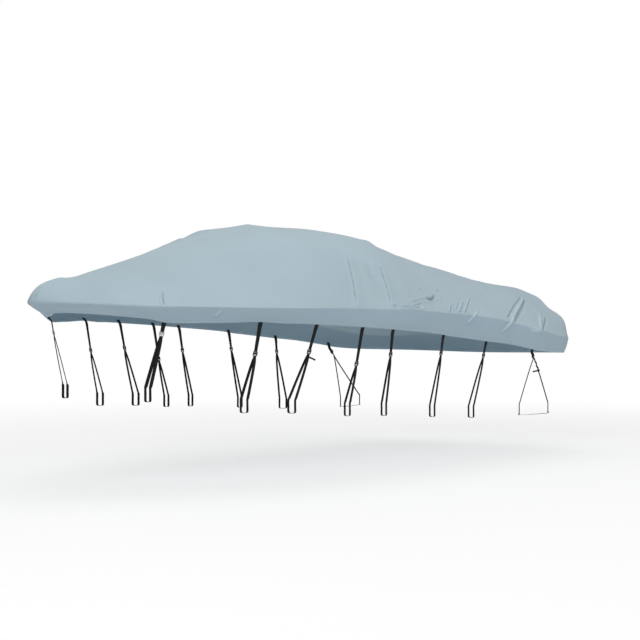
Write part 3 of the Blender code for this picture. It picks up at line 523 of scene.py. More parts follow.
def crown_height():
    """Height of the cloth's outer face on the centreline at the crown."""
    s = np.linspace(1.5, 4.0, 400)      # round the outline, well past the crown
    v = section_values(s)
    return float(np.interp(CROWN_X, v["x_s"], v["z_s"]))


ORIGIN = np.array([CROWN_X, 0.0, crown_height() - CLOTH_THICK])    # as in the part
OUTLINE = float(section_knots()[-1])


def outward(skirt_line):
    """Unit plan directions that point away from the cover."""
    along = np.gradient(skirt_line[:, :2], axis=0)
    along /= np.linalg.norm(along, axis=1)[:, None]
    out = np.stack([along[:, 1], -along[:, 0]], axis=1)
    out[0], out[-1] = (-1.0, 0.0), (1.0, 0.0)
    return out


def hem_at_bow(s, plain):
    """The hem's plan line, which follows HEM_BOW at the nose."""
    table = np.array([(-HEM_BOW[1][0], HEM_BOW[1][1], -HEM_BOW[1][2]), *HEM_BOW])
    end = table[-1, 0]
    x = smooth_curve(table[:, 0], table[:, 1], np.minimum(s, end))
    y = -smooth_curve(table[:, 0], table[:, 2], np.minimum(s, end))
    past = np.maximum(s - end, 0)
    bow = np.stack([x + past * HEM_BOW_RUN[0], y - past * HEM_BOW_RUN[1]], axis=1)
    share = (1 - ease((s - HEM_BOW_FADE[0]) / HEM_BOW_FADE[1]))[:, None]
    return plain * (1 - share) + bow * share


def port_surface(s, skirt_steps, top_steps, fitted=False):
    """Rings of points over the port half, hem first: shape (rings, len(s), 3).
    The hem is the part's own, or fitted by HEM_BOW and HEM_TRIM."""
    v = section_values(s)
    if fitted:
        share = 1 + np.interp(s, *zip(*HEM_TRIM)) / v["drop"]
        v["drop"], v["tuck"] = v["drop"] * share, v["tuck"] * share
    gun = np.stack([v["x_g"], -v["y_g"], v["z_g"]], axis=1)
    handle = np.stack([v["x_k"], -v["y_k"], v["z_k"]], axis=1)
    spine = np.stack([v["x_s"], 0 * v["x_s"], v["z_s"]], axis=1)
    marks = np.linspace(0.0, OUTLINE, OUTLINE_SAMPLES)
    fine = section_values(marks)
    out_fine = outward(np.stack([fine["x_g"], -fine["y_g"]], axis=1))
    out = np.stack([np.interp(s, marks, out_fine[:, k]) for k in range(2)], axis=1)
    hem = gun[:, :2] - out * v["tuck"][:, None]
    swell = np.full((len(s), 1), SKIRT_BOW)
    if fitted:
        hem = hem_at_bow(s, hem)
        swell[:, 0] += NOSE_BOW * np.exp(-(s / NOSE_SPREAD)**2)
    rings = []
    for k in skirt_steps:
        p = gun.copy()
        p[:, :2] += out * swell * 4 * k * (1 - k) + (hem - gun[:, :2]) * k
        p[:, 2] -= v["drop"] * k
        rings.append(p)
    w = v["full"][:, None]
    for u in top_steps:
        a, b, c = (1 - u)**2, 2 * w * u * (1 - u), u**2
        rings.append((a * gun + b * handle + c * spine) / (a + b + c))
    return np.array(rings)


def up_cloth(rings, line_ring):
    """Distance up the cloth from the skirt line, negative on the skirt."""
    steps = np.linalg.norm(np.diff(rings, axis=0), axis=2)
    arc = np.concatenate([np.zeros((1, steps.shape[1])), np.cumsum(steps, axis=0)])
    return arc - arc[line_ring]


def grid_normals(p):
    """Unit normals of a grid of points (rings, stations, 3), pointing out."""
    du = np.gradient(p, axis=0)
    ds = np.gradient(p, axis=1)
    n = np.cross(ds, du)
    size = np.linalg.norm(n, axis=2)[:, :, None]
    return n / np.maximum(size, 1e-12)


def ease(x):
    """From 0 to 1 with a soft start and end."""
    x = np.clip(x, 0.0, 1.0)
    return x * x * (3 - 2 * x)


def lift_heights(side, along, up, lifts):
    """Height of the lifts above the plain surface."""
    total = np.zeros_like(up)
    for row in lifts.values():
        r = dict(zip(LIFT_COLUMNS, row))
        if r["side"] == side:
            total += r["height"] * np.exp(-((along - r["along"]) / r["spread_along"])**2
                                          - ((up - r["up"]) / r["spread_up"])**2)
    return total


def fold_heights(side, along, up, shares):
    """Height of the broad folds above the plain surface."""
    total = np.zeros_like(up)
    for name, share in shares.items():
        r = dict(zip(FOLD_COLUMNS, COARSE_FOLDS[name]))
        if r["side"] != side:
            continue
        d = np.array([r["along_1"] - r["along_0"], r["up_1"] - r["up_0"]])
        length = float(np.hypot(*d))
        d /= length
        pa, pu = along - r["along_0"], up - r["up_0"]
        t = pa * d[0] + pu * d[1]
        n = (pa * d[1] - pu * d[0]) * (1.0 if d[1] >= 0 else -1.0)
        taper = ease(np.minimum(t + FOLD_PAST_END, length + FOLD_PAST_END - t) / FOLD_FADE)
        ridge = np.exp(-(n / r["half_width"])**2)
        trough = np.exp(-((n - r["trough"]) / r["half_width"])**2)
        total += share * r["height"] * taper * (ridge - FOLD_TROUGH * trough)
    return total


def crease_heights(side, along, up):
    """Height of the fine creases: each follows its own broken line, fades at
    its ends and is a little uneven on the way."""
    total = np.zeros_like(up)
    for k, row in enumerate(CREASES.values()):
        r = dict(zip(CREASE_COLUMNS, row))
        if r["side"] != side:
            continue
        pts = np.array(r["points"])
        seg = np.diff(pts, axis=0)
        size = np.hypot(seg[:, 0], seg[:, 1])
        start = np.concatenate([[0.0], np.cumsum(size)])
        widest = max(r["width_0"], r["width_1"]) * max(1.0, r["aft_share"])
        far = CREASE_REACH * widest + abs(r["lip_offset"])
        near = ((along > pts[:, 0].min() - far) & (along < pts[:, 0].max() + far)
                & (up > pts[:, 1].min() - far) & (up < pts[:, 1].max() + far))
        if not near.any():
            continue
        a, b = along[near], up[near]
        best, n, run = np.full(a.shape, 1e9), np.zeros_like(a), np.zeros_like(a)
        for i in range(len(seg)):
            d = seg[i] / size[i]
            pa, pb = a - pts[i, 0], b - pts[i, 1]
            t = np.clip(pa * d[0] + pb * d[1], 0.0, size[i])
            gap = np.hypot(pa - d[0] * t, pb - d[1] * t)
            closer = gap < best
            best = np.where(closer, gap, best)
            n = np.where(closer, gap * np.sign(pa * d[1] - pb * d[0]), n)
            run = np.where(closer, start[i] + t, run)
        whole = start[-1]
        taper = (ease(run / min(r["fade_0"], whole / 2))
                 * ease((whole - run) / min(r["fade_1"], whole / 2)))
        uneven = sum((share * np.sin(run * rate + ahead * k)
                      for share, rate, ahead in CREASE_UNEVEN), 1)
        width = ((r["width_0"] + (r["width_1"] - r["width_0"]) * run / whole)
                 * (CREASE_ENDS + (1 - CREASE_ENDS) * taper))
        shape = r["height"] * np.exp(-(n / np.where(n > 0, width * r["aft_share"], width))**2)
        if r["lip"]:
            shape = shape + r["lip"] * np.exp(-((n - r["lip_offset"]) / width)**2)
        total[near] += shape * taper * uneven
    return total


def unevenness(side, along, up, strength):
    """Height of the slow waves in the cloth."""
    total = np.zeros_like(up)
    for row in WAVES.values():
        r = dict(zip(WAVE_COLUMNS, row))
        turns = along / r["length_along"] + up / r["length_up"]
        phase = r["phase"] + (0.0 if side < 0 else WAVES_AHEAD)
        total += r["height"] * np.sin(2 * math.pi * turns + phase)
    aft = WAVES_SHARE[0] + WAVES_SHARE[1] * ease((along - WAVES_GROW[0]) / WAVES_GROW[1])
    return total * aft * strength


# ------------------------------------------------------------- grids of cloth
def walk(steps, end):
    """Marks from 0 to end, each run of the table in equal steps."""
    marks, at = [0.0], 0.0
    for limit, step in steps:
        stop = min(limit, end)
        if stop <= at + 1e-9:
            continue
        count = max(1, round((stop - at) / step))
        marks += [at + (stop - at) * (k + 1) / count for k in range(count)]
        at = stop
    return np.array(marks)


def reach_of_lean(up):
    """How far up the cloth the columns' lean has carried them."""
    return np.where(up < LEAN_WHOLE, up, up * (1 - ease((up - LEAN_WHOLE) / LEAN_FADE)))


def fine_grid(kind, columns, props):
    """The plain outer face on the rows of one kind: points, distances round
    the outline, up the cloth and from the hem."""
    marks = np.linspace(0.0, OUTLINE, FINE_SAMPLES)
    skirt = np.linspace(1.0, 0.0, SKIRT_SAMPLES + 1)[:-1]
    dense = port_surface(marks, skirt, np.linspace(0.0, 1.0, TOP_SAMPLES), fitted=True)
    arc = up_cloth(dense, len(skirt))
    from_hem, between, to_line = SKIRT_FROM_HEM[kind], SKIRT_BETWEEN[kind], SKIRT_TO_LINE[kind]
    top = walk(TOP_ROWS[kind], TOP_REFERENCE)[1:]
    rows = len(from_hem) + between + len(to_line) + len(top)
    lines = np.zeros((rows, len(marks), 3))
    line_ups = np.zeros((rows, len(marks)))
    sharpens, over = LINE_SHARPENS
    radius = (props.crease_bow + (props.crease_stern - props.crease_bow)
              * ease((marks - sharpens) / over))
    for i in range(len(marks)):
        low, high = arc[0, i], arc[-1, i]
        a, b = low + from_hem[-1], -to_line[0]
        middle = [a + (b - a) * (k + 1) / (between + 1) for k in range(between)]
        ups = np.concatenate([low + np.array(from_hem), middle, -np.array(to_line),
                              top * high / TOP_REFERENCE])
        line_ups[:, i] = ups
        r = radius[i]           # the skirt line's fold is rounded within it
        near = np.abs(ups) < r
        t = (ups[near] + r) / (2 * r)
        for c in range(3):
            values = np.interp(ups, arc[:, i], dense[:, i, c])
            p0, p1, p2 = np.interp([-r, 0.0, r], arc[:, i], dense[:, i, c])
            values[near] = (1 - t)**2 * p0 + 2 * t * (1 - t) * p1 + t * t * p2
            lines[:, i, c] = values
    lean = 0.0 if kind == "lining" else np.interp(columns, *zip(*LEANS))
    along, points = np.zeros((rows, len(columns))), np.zeros((rows, len(columns), 3))
    ups = np.zeros((rows, len(columns)))
    for j in range(rows):
        along[j] = columns + lean * reach_of_lean(np.interp(columns, marks, line_ups[j]))
        ups[j] = np.interp(along[j], marks, line_ups[j])
        for c in range(3):
            points[j, :, c] = np.interp(along[j], marks, lines[j, :, c])
    return points, along, ups, ups - np.interp(along, marks, arc[0])


def dressed_side(kind, side, columns, props):
    """One side of the cloth in full: points, normals, relief and places."""
    points, along, ups, hem = fine_grid(kind, columns, props)
    for row in PEAKS.values():
        r = dict(zip(PEAK_COLUMNS, row))
        gap = np.hypot(points[:, :, 0] - r["x"], points[:, :, 1] - r["y"])
        points[:, :, 2] += r["height"] * np.exp(-(gap / r["reach"])**r["power"])
    normals = grid_normals(points)
    broad = (lift_heights(side, along, ups, LIFTS)
             + fold_heights(side, along, ups, BROAD_FOLDS))
    fine = crease_heights(side, along, ups) * props.fold_strength
    fade = ease(np.minimum(along, OUTLINE - along) / END_FADE)
    middle = np.clip((ups[-1][None, :] - ups) / MIDDLE_FADE, 0, 1)
    off_hem = ease((hem - RELIEF_FROM_HEM) / RELIEF_FADE)
    relief = (broad * fade * middle + fine * ease(along / CREASE_BOW_FADE) * off_hem
              + unevenness(side, along, ups, props.unevenness) * fade * middle * off_hem)
    band = HEM_PROUD * (1 - ease((hem - HEM_BAND + HEM_STEP / 2) / HEM_STEP))
    seam = -SEAM_DEPTH * np.exp(-((hem - HEM_BAND) / SEAM_WIDTH)**2)
    relief = relief + band + seam
    return {"base": points, "normals": normals, "relief": relief, "along": along, "ups": ups,
            "hem": hem, "fine": fine, "outer": points + normals * relief[:, :, None]}


def mirror(points):
    """The same points on the other side of the centreline."""
    flipped = points.copy()
    flipped[..., 1] *= -1
    return flipped


def zip_lines(line_a, at_a, line_b, at_b):
    """Triangles between two lines of vertices that run side by side."""
    faces, i, j = [], 0, 0
    while i < len(line_a) - 1 or j < len(line_b) - 1:
        if j == len(line_b) - 1 or (i < len(line_a) - 1 and at_a[i + 1] <= at_b[j + 1]):
            faces.append((line_a[i], line_a[i + 1], line_b[j]))
            i += 1
        else:
            faces.append((line_a[i], line_b[j + 1], line_b[j]))
            j += 1
    return faces


def grid_quads(index):
    """Faces of a grid of vertex numbers."""
    a, b = index[:-1, :-1].ravel(), index[:-1, 1:].ravel()
    c, d = index[1:, 1:].ravel(), index[1:, :-1].ravel()
    return np.stack([a, b, c, d], axis=1).tolist()


def lowest_nearby(fine, along, ups):
    """The lowest relief of the outer face near each point of the lining."""
    low_up, rows = -0.3, 80         # the cells start below any skirt and end past the top
    count = (int(OUTLINE / LINING_CELL) + 3, rows)

    def cells(a, u):
        return (np.clip((a / LINING_CELL).astype(int) + 1, 0, count[0] - 1),
                np.clip(((u - low_up) / LINING_CELL).astype(int) + 1, 0, count[1] - 1))

    lowest = np.full(count, np.inf)
    np.minimum.at(lowest, cells(fine["along"], fine["ups"]), fine["relief"])
    spread = lowest.copy()
    for da in (-1, 0, 1):
        for du in (-1, 0, 1):
            spread = np.minimum(spread, np.roll(np.roll(lowest, da, 0), du, 1))
    found = spread[cells(along, ups)]
    return np.where(np.isinf(found), 0.0, found)


def build_cover(props):
    """Vertices, faces, cloth coordinates and crease heights of the cover."""
    verts, coords, crease = [], [], []

    def add(points, along, ups, fine):
        """Keep these points, and give their vertex numbers."""
        first = sum(len(v) for v in verts)
        shape = points.shape[:-1]
        verts.append(points.reshape(-1, 3))
        coords.append(np.stack([np.broadcast_to(along, shape).ravel(),
                                np.broadcast_to(ups, shape).ravel()], axis=1))
        crease.append(np.broadcast_to(fine, shape).ravel())
        return np.arange(first, first + int(np.prod(shape))).reshape(shape)

    def shares(ups_column):
        """How far up each row of a column is, from 0 to 1."""
        return list((ups_column - ups_column[0]) / (ups_column[-1] - ups_column[0]))

    # port outer face
    near = dressed_side("port", -1, walk(PORT_STEPS, OUTLINE), props)
    outer = near["outer"]
    outer[:, (0, -1), 1] = 0.0
    outer[-1, :, 1] = 0.0
    port = add(outer, near["along"], near["ups"], near["fine"])
    faces = grid_quads(port)

    # starboard outer face, without the lines that it shares with the port one
    far = dressed_side("starboard", +1, walk(STARBOARD_STEPS, OUTLINE), props)
    far["outer"], far["normals"] = mirror(far["outer"]), mirror(far["normals"])
    star_points = far["outer"][:-1, 1:-1]
    star = add(star_points, 2 * OUTLINE - far["along"][:-1, 1:-1], far["ups"][:-1, 1:-1],
               far["fine"][:-1, 1:-1])
    faces += grid_quads(star)

    # the strips that join them at the bow, along the centreline and at the stern
    ups, far_ups = near["ups"], far["ups"]
    line_a = list(port[:, 0]) + list(port[-1, 1:]) + list(port[:-1, -1][::-1])
    at_a = (shares(ups[:, 0]) + list(1 + near["along"][-1, 1:] / OUTLINE)
            + [3 - v for v in shares(ups[:, -1])[:-1][::-1]])
    line_b = list(star[:, 0]) + list(star[-1, 1:]) + list(star[:-1, -1][::-1])
    at_b = (shares(far_ups[:, 1])[:-1] + list(1 + far["along"][-1, 2:-1] / OUTLINE)
            + [3 - v for v in shares(far_ups[:, -2])[:-2][::-1]])
    faces += zip_lines(line_a, at_a, line_b, at_b)

    # the lining side: coarser, and below the deepest crease near each point
    s_in = walk(LINING_STEPS, OUTLINE)
    linings = []
    for side, fine in ((-1, near), (+1, far)):
        row = dressed_side("lining", side, s_in, props)
        deep = lowest_nearby(fine, row["along"], row["ups"])
        thick = np.full(deep.shape, CLOTH_THICK)
        thick[1] = CLOTH_THICK + LINING_AT_BAND
        q = row["base"] + row["normals"] * (np.minimum(deep, row["relief"]) - thick)[:, :, None]
        q[0] = row["base"][0] + row["normals"][0] * (fine["relief"][0].mean() - props.hem_thick)
        q[:, (0, -1), 1] = 0.0
        q[-1, :, 1] = 0.0
        linings.append((q if side < 0 else mirror(q), row["ups"]))
    q, ups_in = linings[0]
    port_in = add(q, s_in, ups_in, 0 * ups_in)
    faces += grid_quads(port_in)
    q, ups_in = linings[1]
    star_in = port_in.copy()
    star_in[:-1, 1:-1] = add(q[:-1, 1:-1], 2 * OUTLINE - s_in[1:-1], ups_in[:-1, 1:-1],
                             0 * ups_in[:-1, 1:-1])
    faces += grid_quads(star_in)

    # the rounded hem edge, then the turn to the lining side
    ring = np.concatenate([outer[0], star_points[0][::-1]])
    ring_normal = np.concatenate([near["normals"][0], far["normals"][0, 1:-1][::-1]])
    ring_at = np.concatenate([near["along"][0], 2 * OUTLINE - far["along"][0, 1:-1][::-1]])
    previous = np.concatenate([port[0], star[0][::-1]])
    for inset, down in HEM_EDGE:
        p = ring - ring_normal * (props.hem_thick * inset)
        p[:, 2] -= down
        now = add(p, ring_at, HEM_EDGE_UP, 0.0)
        closed_a, closed_b = np.append(previous, previous[0]), np.append(now, now[0])
        quads = np.stack([closed_a[:-1], closed_b[:-1], closed_b[1:], closed_a[1:]], axis=1)
        faces += quads.tolist()
        previous = now
    inner = np.concatenate([port_in[0], star_in[0, 1:-1][::-1]])
    inner_at = np.concatenate([s_in, 2 * OUTLINE - s_in[1:-1][::-1]])
    faces += zip_lines(list(previous) + [previous[0]], list(ring_at) + [2 * OUTLINE],
                       list(inner) + [inner[0]], list(inner_at) + [2 * OUTLINE])
    return (np.concatenate(verts) - ORIGIN, faces, np.concatenate(coords),
            np.concatenate(crease), (near, far))


# --------------------------------------------------------- where the ties hang
def coarse_stations():
    """The part's own columns: one flat facet of the hem at each tie."""
    anchors = [0.0, OUTLINE]
    ties = [row[0] for row in TIES.values()]
    for along in ties:
        anchors += [along - TIE_FACET / 2, along + TIE_FACET / 2]
    anchors = sorted(anchors + [limit for limit, step in COARSE_STEPS
                                if all(abs(limit - along) > TIE_FACET for along in ties)])
    marks = [0.0]
    for a, b in zip(anchors, anchors[1:]):
        step = next((step for limit, step in COARSE_STEPS if (a + b) / 2 < limit),
                    COARSE_END_STEP)
        count = max(1, round((b - a) / step))
        marks += [a + (b - a) * (k + 1) / count for k in range(count)]
    return np.array(marks)


def coarse_half(side, s):
    """One side of the cloth's outer face as the part has it."""
    rings = port_surface(s, COARSE_SKIRT, COARSE_TOP)
    normals = grid_normals(rings)
    up = up_cloth(rings, len(COARSE_SKIRT))
    along = np.broadcast_to(s, up.shape)
    fade = np.clip(np.minimum(s - s[0], s[-1] - s) / END_FADE, 0, 1)[None, :]
    middle = np.clip((up[-1][None, :] - up) / MIDDLE_FADE, 0, 1)
    heights = (lift_heights(side, along, up, COARSE_LIFTS)
               + fold_heights(side, along, up, dict.fromkeys(COARSE_FOLDS, 1.0)))
    rings = rings + normals * (heights * fade * middle)[:, :, None]
    if side > 0:
        rings[:, :, 1] *= -1
    rings[:, (0, -1), 1] = 0.0
    rings[-1, :, 1] = 0.0
    return rings


def hem_places():
    """Where each hanger meets the hem: point, tangent, inward and rise."""
    s = coarse_stations()
    places = {}
    for side, word in SIDES:
        grid = coarse_half(side, s)[:4]     # the rows that the hem's normals need
        bm = bmesh.new()
        verts = [[bm.verts.new(p) for p in row] for row in grid]
        for j in range(len(grid) - 1):
            for i in range(len(s) - 1):
                quad = [verts[j][i], verts[j][i + 1], verts[j + 1][i + 1], verts[j + 1][i]]
                bm.faces.new(quad if side < 0 else quad[::-1])
        bm.normal_update()

        def inner(j, i):
            thick = HEM_THICK if j == 0 else CLOTH_THICK
            return verts[j][i].co - verts[j][i].normal * thick

        for name, row in TIES.items():
            i = int(np.argmin(np.abs(s - (row[0] - TIE_FACET / 2))))
            a, b, c, d = inner(0, i), inner(0, i + 1), inner(1, i), inner(1, i + 1)
            tangent = (b - a).normalized()
            rise = (c + d - a - b).normalized()
            inward = tangent.cross(rise).normalized()
            if inward.y * side > 0:
                inward.negate()
            rise = inward.cross(tangent).normalized()
            if rise.z < 0:
                rise.negate()
            middle = (a + b) / 2
            middle += inward * max((q - middle).dot(inward) for q in (a, b, c, d))
            places[(word, name)] = (middle - Vector(ORIGIN), tangent, inward, rise)
        bm.free()
    return places


def tie_axes(hem, side, row):
    """Where the hanger leaves the hem, the way down the tie, its width
    direction and the direction in towards the centreline."""
    point, tangent, inward, rise = hem
    base = Vector((row["base_x"], side * row["base_y"], row["base_z"] + LOOP_BASE))
    base -= Vector(ORIGIN)
    down = (base - point).normalized()
    lean = abs(down.dot(tangent)) * HANGER_TOP / 2
    bend = point + inward * (AIR + HANGER_THICK / 2) - rise * (HEM_CLEAR + lean)
    down = (base - bend).normalized()
    width = (tangent - down * tangent.dot(down)).normalized()
    if width.x < 0:
        width.negate()
    inboard = down.cross(width).normalized()
    if inboard.y * side > 0:
        inboard.negate()
    return bend, down, width, inboard


def loop_route(hem, side, row):
    """Where the legs part, and the webbing's middle line from there and back
    as (point, direction it faces)."""
    bend, down, _, inboard = tie_axes(hem, side, row)
    part = bend + down * (row["hanger"] + 2 * AIR + BUCKLE_HEIGHT + LOOP_NECK)
    outer = Vector((row["base_x"], side * row["base_y"], row["base_z"])) - Vector(ORIGIN)
    inn = Vector((0, -side, 0))
    inner = outer + inn * row["gap"] + Vector((row["inner_aft"], 0, 0))
    up, fall = Vector((0, 0, LOOP_BASE)), Vector((0, 0, -1))
    corner = (inner - outer).normalized() * (row["gap"] * BASE_CORNER)
    middle, half = (outer + inner) / 2 + up, (outer - inner) / 2

    def leg(share, sign):
        spread = Vector((half.x * share, half.y * share**LEG_OPENS, half.z))
        return part.lerp(middle, share) + spread * sign

    return part, (
        [(leg(share, 1), -inboard) for share in LEG_SHARES]
        + [(outer + up * share, -inn) for share in (1.0, 0.5, BASE_TURN)]
        + [(outer + fall * BASE_DROP + corner, fall),
           ((outer + inner) / 2 + fall * BASE_SAG, fall),
           (inner + fall * BASE_DROP - corner, fall)]
        + [(inner + up * share, inn) for share in (BASE_TURN, 0.5, 1.0)]
        + [(leg(share, -1), inboard) for share in reversed(LEG_SHARES)])


def each_tie():
    """Every tie: its side, the side's word, its name, its row and its place
    on the hem."""
    hems = hem_places()
    for side, word in SIDES:
        for name, values in TIES.items():
            yield side, word, name, dict(zip(TIE_COLUMNS, values)), hems[(word, name)]


# ------------------------------------------------------------------ mesh helpers
def finish_object(name, mesh, finish, angle):
    """The mesh as a smooth object in its finish, sharp at edges over angle."""
    bm = bmesh.new()
    bm.from_mesh(mesh)
    bmesh.ops.recalc_face_normals(bm, faces=bm.faces[:])
    bm.to_mesh(mesh)
    bm.free()
    mesh.shade_smooth()
    mesh.set_sharp_from_angle(angle=math.radians(angle))
    mesh.materials.append(finish)
    obj = bpy.data.objects.new(name, mesh)
    bpy.context.scene.collection.objects.link(obj)
    return obj


def link_bmesh(name, bm, finish, angle):
    """The mesh in the making as an object, see finish_object."""
    mesh = bpy.data.meshes.new(name)
    bm.to_mesh(mesh)
    bm.free()
    return finish_object(name, mesh, finish, angle)


def through(points, steps):
    """Points on a smooth curve through the given ones (any width of row)."""
    p = np.array(points, float)
    padded = np.concatenate([[2 * p[0] - p[1]], p, [2 * p[-1] - p[-2]]])
    out = []
    for i in range(1, len(padded) - 2):
        a, b, c, d = padded[i - 1:i + 3]
        for k in range(steps):
            t = k / steps
            out.append(0.5 * (2 * b + (c - a) * t + (2 * a - 5 * b + 4 * c - d) * t**2
                              + (3 * b - a - 3 * c + d) * t**3))
    out.append(p[-1])
    return np.array(out)


def ribbon(bm, uv_layer, path, faces_to, widths, thick):
    """A strip of webbing with rounded edges, closed at both ends.  path holds
    its middle line, faces_to the direction of its face, widths its width."""
    path = [Vector(p) for p in path]
    rings, marks = [], []
    run_length, across_before = 0.0, None
    for i, p in enumerate(path):
        before, after = path[max(i - 1, 0)], path[min(i + 1, len(path) - 1)]
        run = (after - before).normalized()
        normal = Vector(faces_to[i])
        normal = (normal - run * normal.dot(run)).normalized()
        across = run.cross(normal).normalized()
        if across_before is not None and across.dot(across_before) < 0:
            across.negate()
        across_before = across
        if i:
            run_length += (p - path[i - 1]).length
        rings.append([bm.verts.new(p + across * (a * widths[i] / 2) + normal * (b * thick / 2))
                      for a, b in WEB_PROFILE])
        marks.append(run_length)
    count = len(WEB_PROFILE)
    for i in range(len(rings) - 1):
        for k in range(count):
            k2 = (k + 1) % count
            face = bm.faces.new([rings[i][k], rings[i][k2], rings[i + 1][k2], rings[i + 1][k]])
            spots = ((k, i), (k2, i), (k2, i + 1), (k, i + 1))
            for loop, (kk, ii) in zip(face.loops, spots):
                loop[uv_layer].uv = (WEB_PROFILE[kk][0] * widths[ii] / 2, marks[ii])
    bm.faces.new(list(reversed(rings[0])))
    bm.faces.new(rings[-1])


def stitch(bm, centre, run, normal, length, width, height):
    """One short thread lying on the cloth."""
    across = run.cross(normal).normalized()
    low = [bm.verts.new(centre + run * (a * length / 2) + across * (b * width / 2)
                        - normal * height * 0.4)
           for a, b in ((-0.7, -1), (0.7, -1), (1, 0), (0.7, 1), (-0.7, 1), (-1, 0))]
    high = [bm.verts.new(centre + run * (a * length / 2) + normal * height) for a in (-0.45, 0.45)]
    for a, b in ((0, 1), (3, 4)):
        top = (high[1], high[0]) if a == 0 else (high[0], high[1])
        bm.faces.new([low[a], low[b], top[0], top[1]])
    bm.faces.new([low[1], low[2], high[1]])
    bm.faces.new([low[2], low[3], high[1]])
    bm.faces.new([low[4], low[5], high[0]])
    bm.faces.new([low[5], low[0], high[0]])
    bm.faces.new(list(reversed(low)))


def sew_across(bm, centre, across, facing, reach, pitch, off):
    """A row of stitches over both faces of the webbing, off from its middle."""
    for k in range(-reach, reach + 1):
        p = centre + across * (k * pitch)
        for face in (-1, 1):
            stitch(bm, p + facing * (face * off), across, facing * face, *TIE_STITCH)


def rounded_box(bm, matrix, size, bevel):
    """A box in the middle of the matrix, with rounded edges."""
    made = bmesh.ops.create_cube(bm, size=1.0, matrix=matrix @ Matrix.Diagonal((*size, 1.0)))
    edges = list(dict.fromkeys(e for v in made["verts"] for e in v.link_edges))
    bmesh.ops.bevel(bm, geom=edges, offset=bevel, segments=2, affect="EDGES", profile=0.6)


def bar(bm, matrix, length, radius, flat=1.0, sides=12):
    """A round bar along the matrix's X."""
    turn = Matrix.Rotation(math.radians(90), 4, "Y")
    bmesh.ops.create_cone(bm, cap_ends=True, segments=sides, radius1=radius, radius2=radius,
                          depth=length, matrix=matrix @ Matrix.Diagonal((1, 1, flat, 1)) @ turn)


# -------------------------------------------------------------------- finishes
class Tone:
    """A socket of a finish that can stand in a sum written in Python."""

    def __init__(self, tree, socket):
        self.tree, self.socket = tree, socket

    def node(self, kind, settings=None, values=None, out=0):
        return add_node(self.tree, kind, settings, values, out)

    def math(self, operation, a, b=0.0):
        return self.node("ShaderNodeMath", {"operation": operation}, {0: a, 1: b})

    def __add__(self, other):
        return self.math("ADD", self, other)

    def __radd__(self, other):
        return self.math("ADD", other, self)

    def __sub__(self, other):
        return self.math("SUBTRACT", self, other)

    def __rsub__(self, other):
        return self.math("SUBTRACT", other, self)

    def __mul__(self, other):
        return self.math("MULTIPLY", self, other)

    def __rmul__(self, other):
        return self.math("MULTIPLY", other, self)

    def sine(self):
        return self.math("SINE", self)

    def between(self, low, high):
        """This value's place from low to high, eased and kept from 0 to 1."""
        return self.node("ShaderNodeMapRange", {"interpolation_type": "SMOOTHSTEP"},
                         {"Value": self, "From Min": low, "From Max": high})


def add_node(tree, kind, settings=None, values=None, out=0):
    """Any node: its settings first, then the values or links of its sockets."""
    made = tree.nodes.new(kind)
    for key, value in (settings or {}).items():
        setattr(made, key, value)
    for key, value in (values or {}).items():
        socket = made.inputs[key]
        if isinstance(value, Tone):
            tree.links.new(value.socket, socket)
        else:
            socket.default_value = value
    return Tone(tree, made.outputs[out])


class Finish:
    """A material in the making, with one method for any node."""

    def __init__(self, name, colour, rough, metallic=0.0, **fixed):
        self.material = bpy.data.materials.new(name)
        self.material.use_nodes = True
        self.tree = self.material.node_tree
        self.shader = self.tree.nodes["Principled BSDF"]
        self.set("Base Color", (*colour, 1.0))
        self.set("Roughness", rough)
        self.set("Metallic", metallic)
        for key, value in fixed.items():
            self.set(key.replace("_", " "), value)
        self.material.diffuse_color = (*colour, 1.0)

    def set(self, socket, value):
        """A socket of the shader: a value that is the same all over, or a Tone."""
        if isinstance(value, Tone):
            self.tree.links.new(value.socket, self.shader.inputs[socket])
        else:
            self.shader.inputs[socket].default_value = value

    def add(self, kind, settings=None, values=None, out=0):
        return add_node(self.tree, kind, settings, values, out)

    def place(self):
        return self.add("ShaderNodeTexCoord", out="Object")

    def cloud(self, scale, detail=3.0, rough=0.55, stretch=(1, 1, 1)):
        """Soft noise from 0 to 1, in the object's metres."""
        spot = self.add("ShaderNodeMapping", {}, {"Vector": self.place(), "Scale": stretch})
        return self.add("ShaderNodeTexNoise", {"noise_dimensions": "3D"},
                        {"Vector": spot, "Scale": scale, "Detail": detail, "Roughness": rough})

    def coords(self, name):
        """The two coordinates of a map, in metres."""
        at = self.add("ShaderNodeUVMap", {"uv_map": name})
        split = self.add("ShaderNodeSeparateXYZ", {}, {0: at})
        return split, Tone(self.tree, split.socket.node.outputs[1])

    def blend(self, factor, a, b, kind="MIX"):
        """From colour a to colour b by the factor."""
        values = {0: factor, 6: a if isinstance(a, Tone) else (*a, 1.0),
                  7: b if isinstance(b, Tone) else (*b, 1.0)}
        return self.add("ShaderNodeMix", {"data_type": "RGBA", "blend_type": kind}, values, out=2)

    def bump(self, height, distance, strength=1.0, before=None):
        """A bumpy normal, over another one where it is given."""
        values = {"Height": height, "Distance": distance, "Strength": strength}
        if before is not None:
            values["Normal"] = before
        return self.add("ShaderNodeBump", {}, values)


def tinted(colour, share):
    """A colour made darker, or lighter up to white."""
    return tuple(min(1.0, c * share) for c in colour)


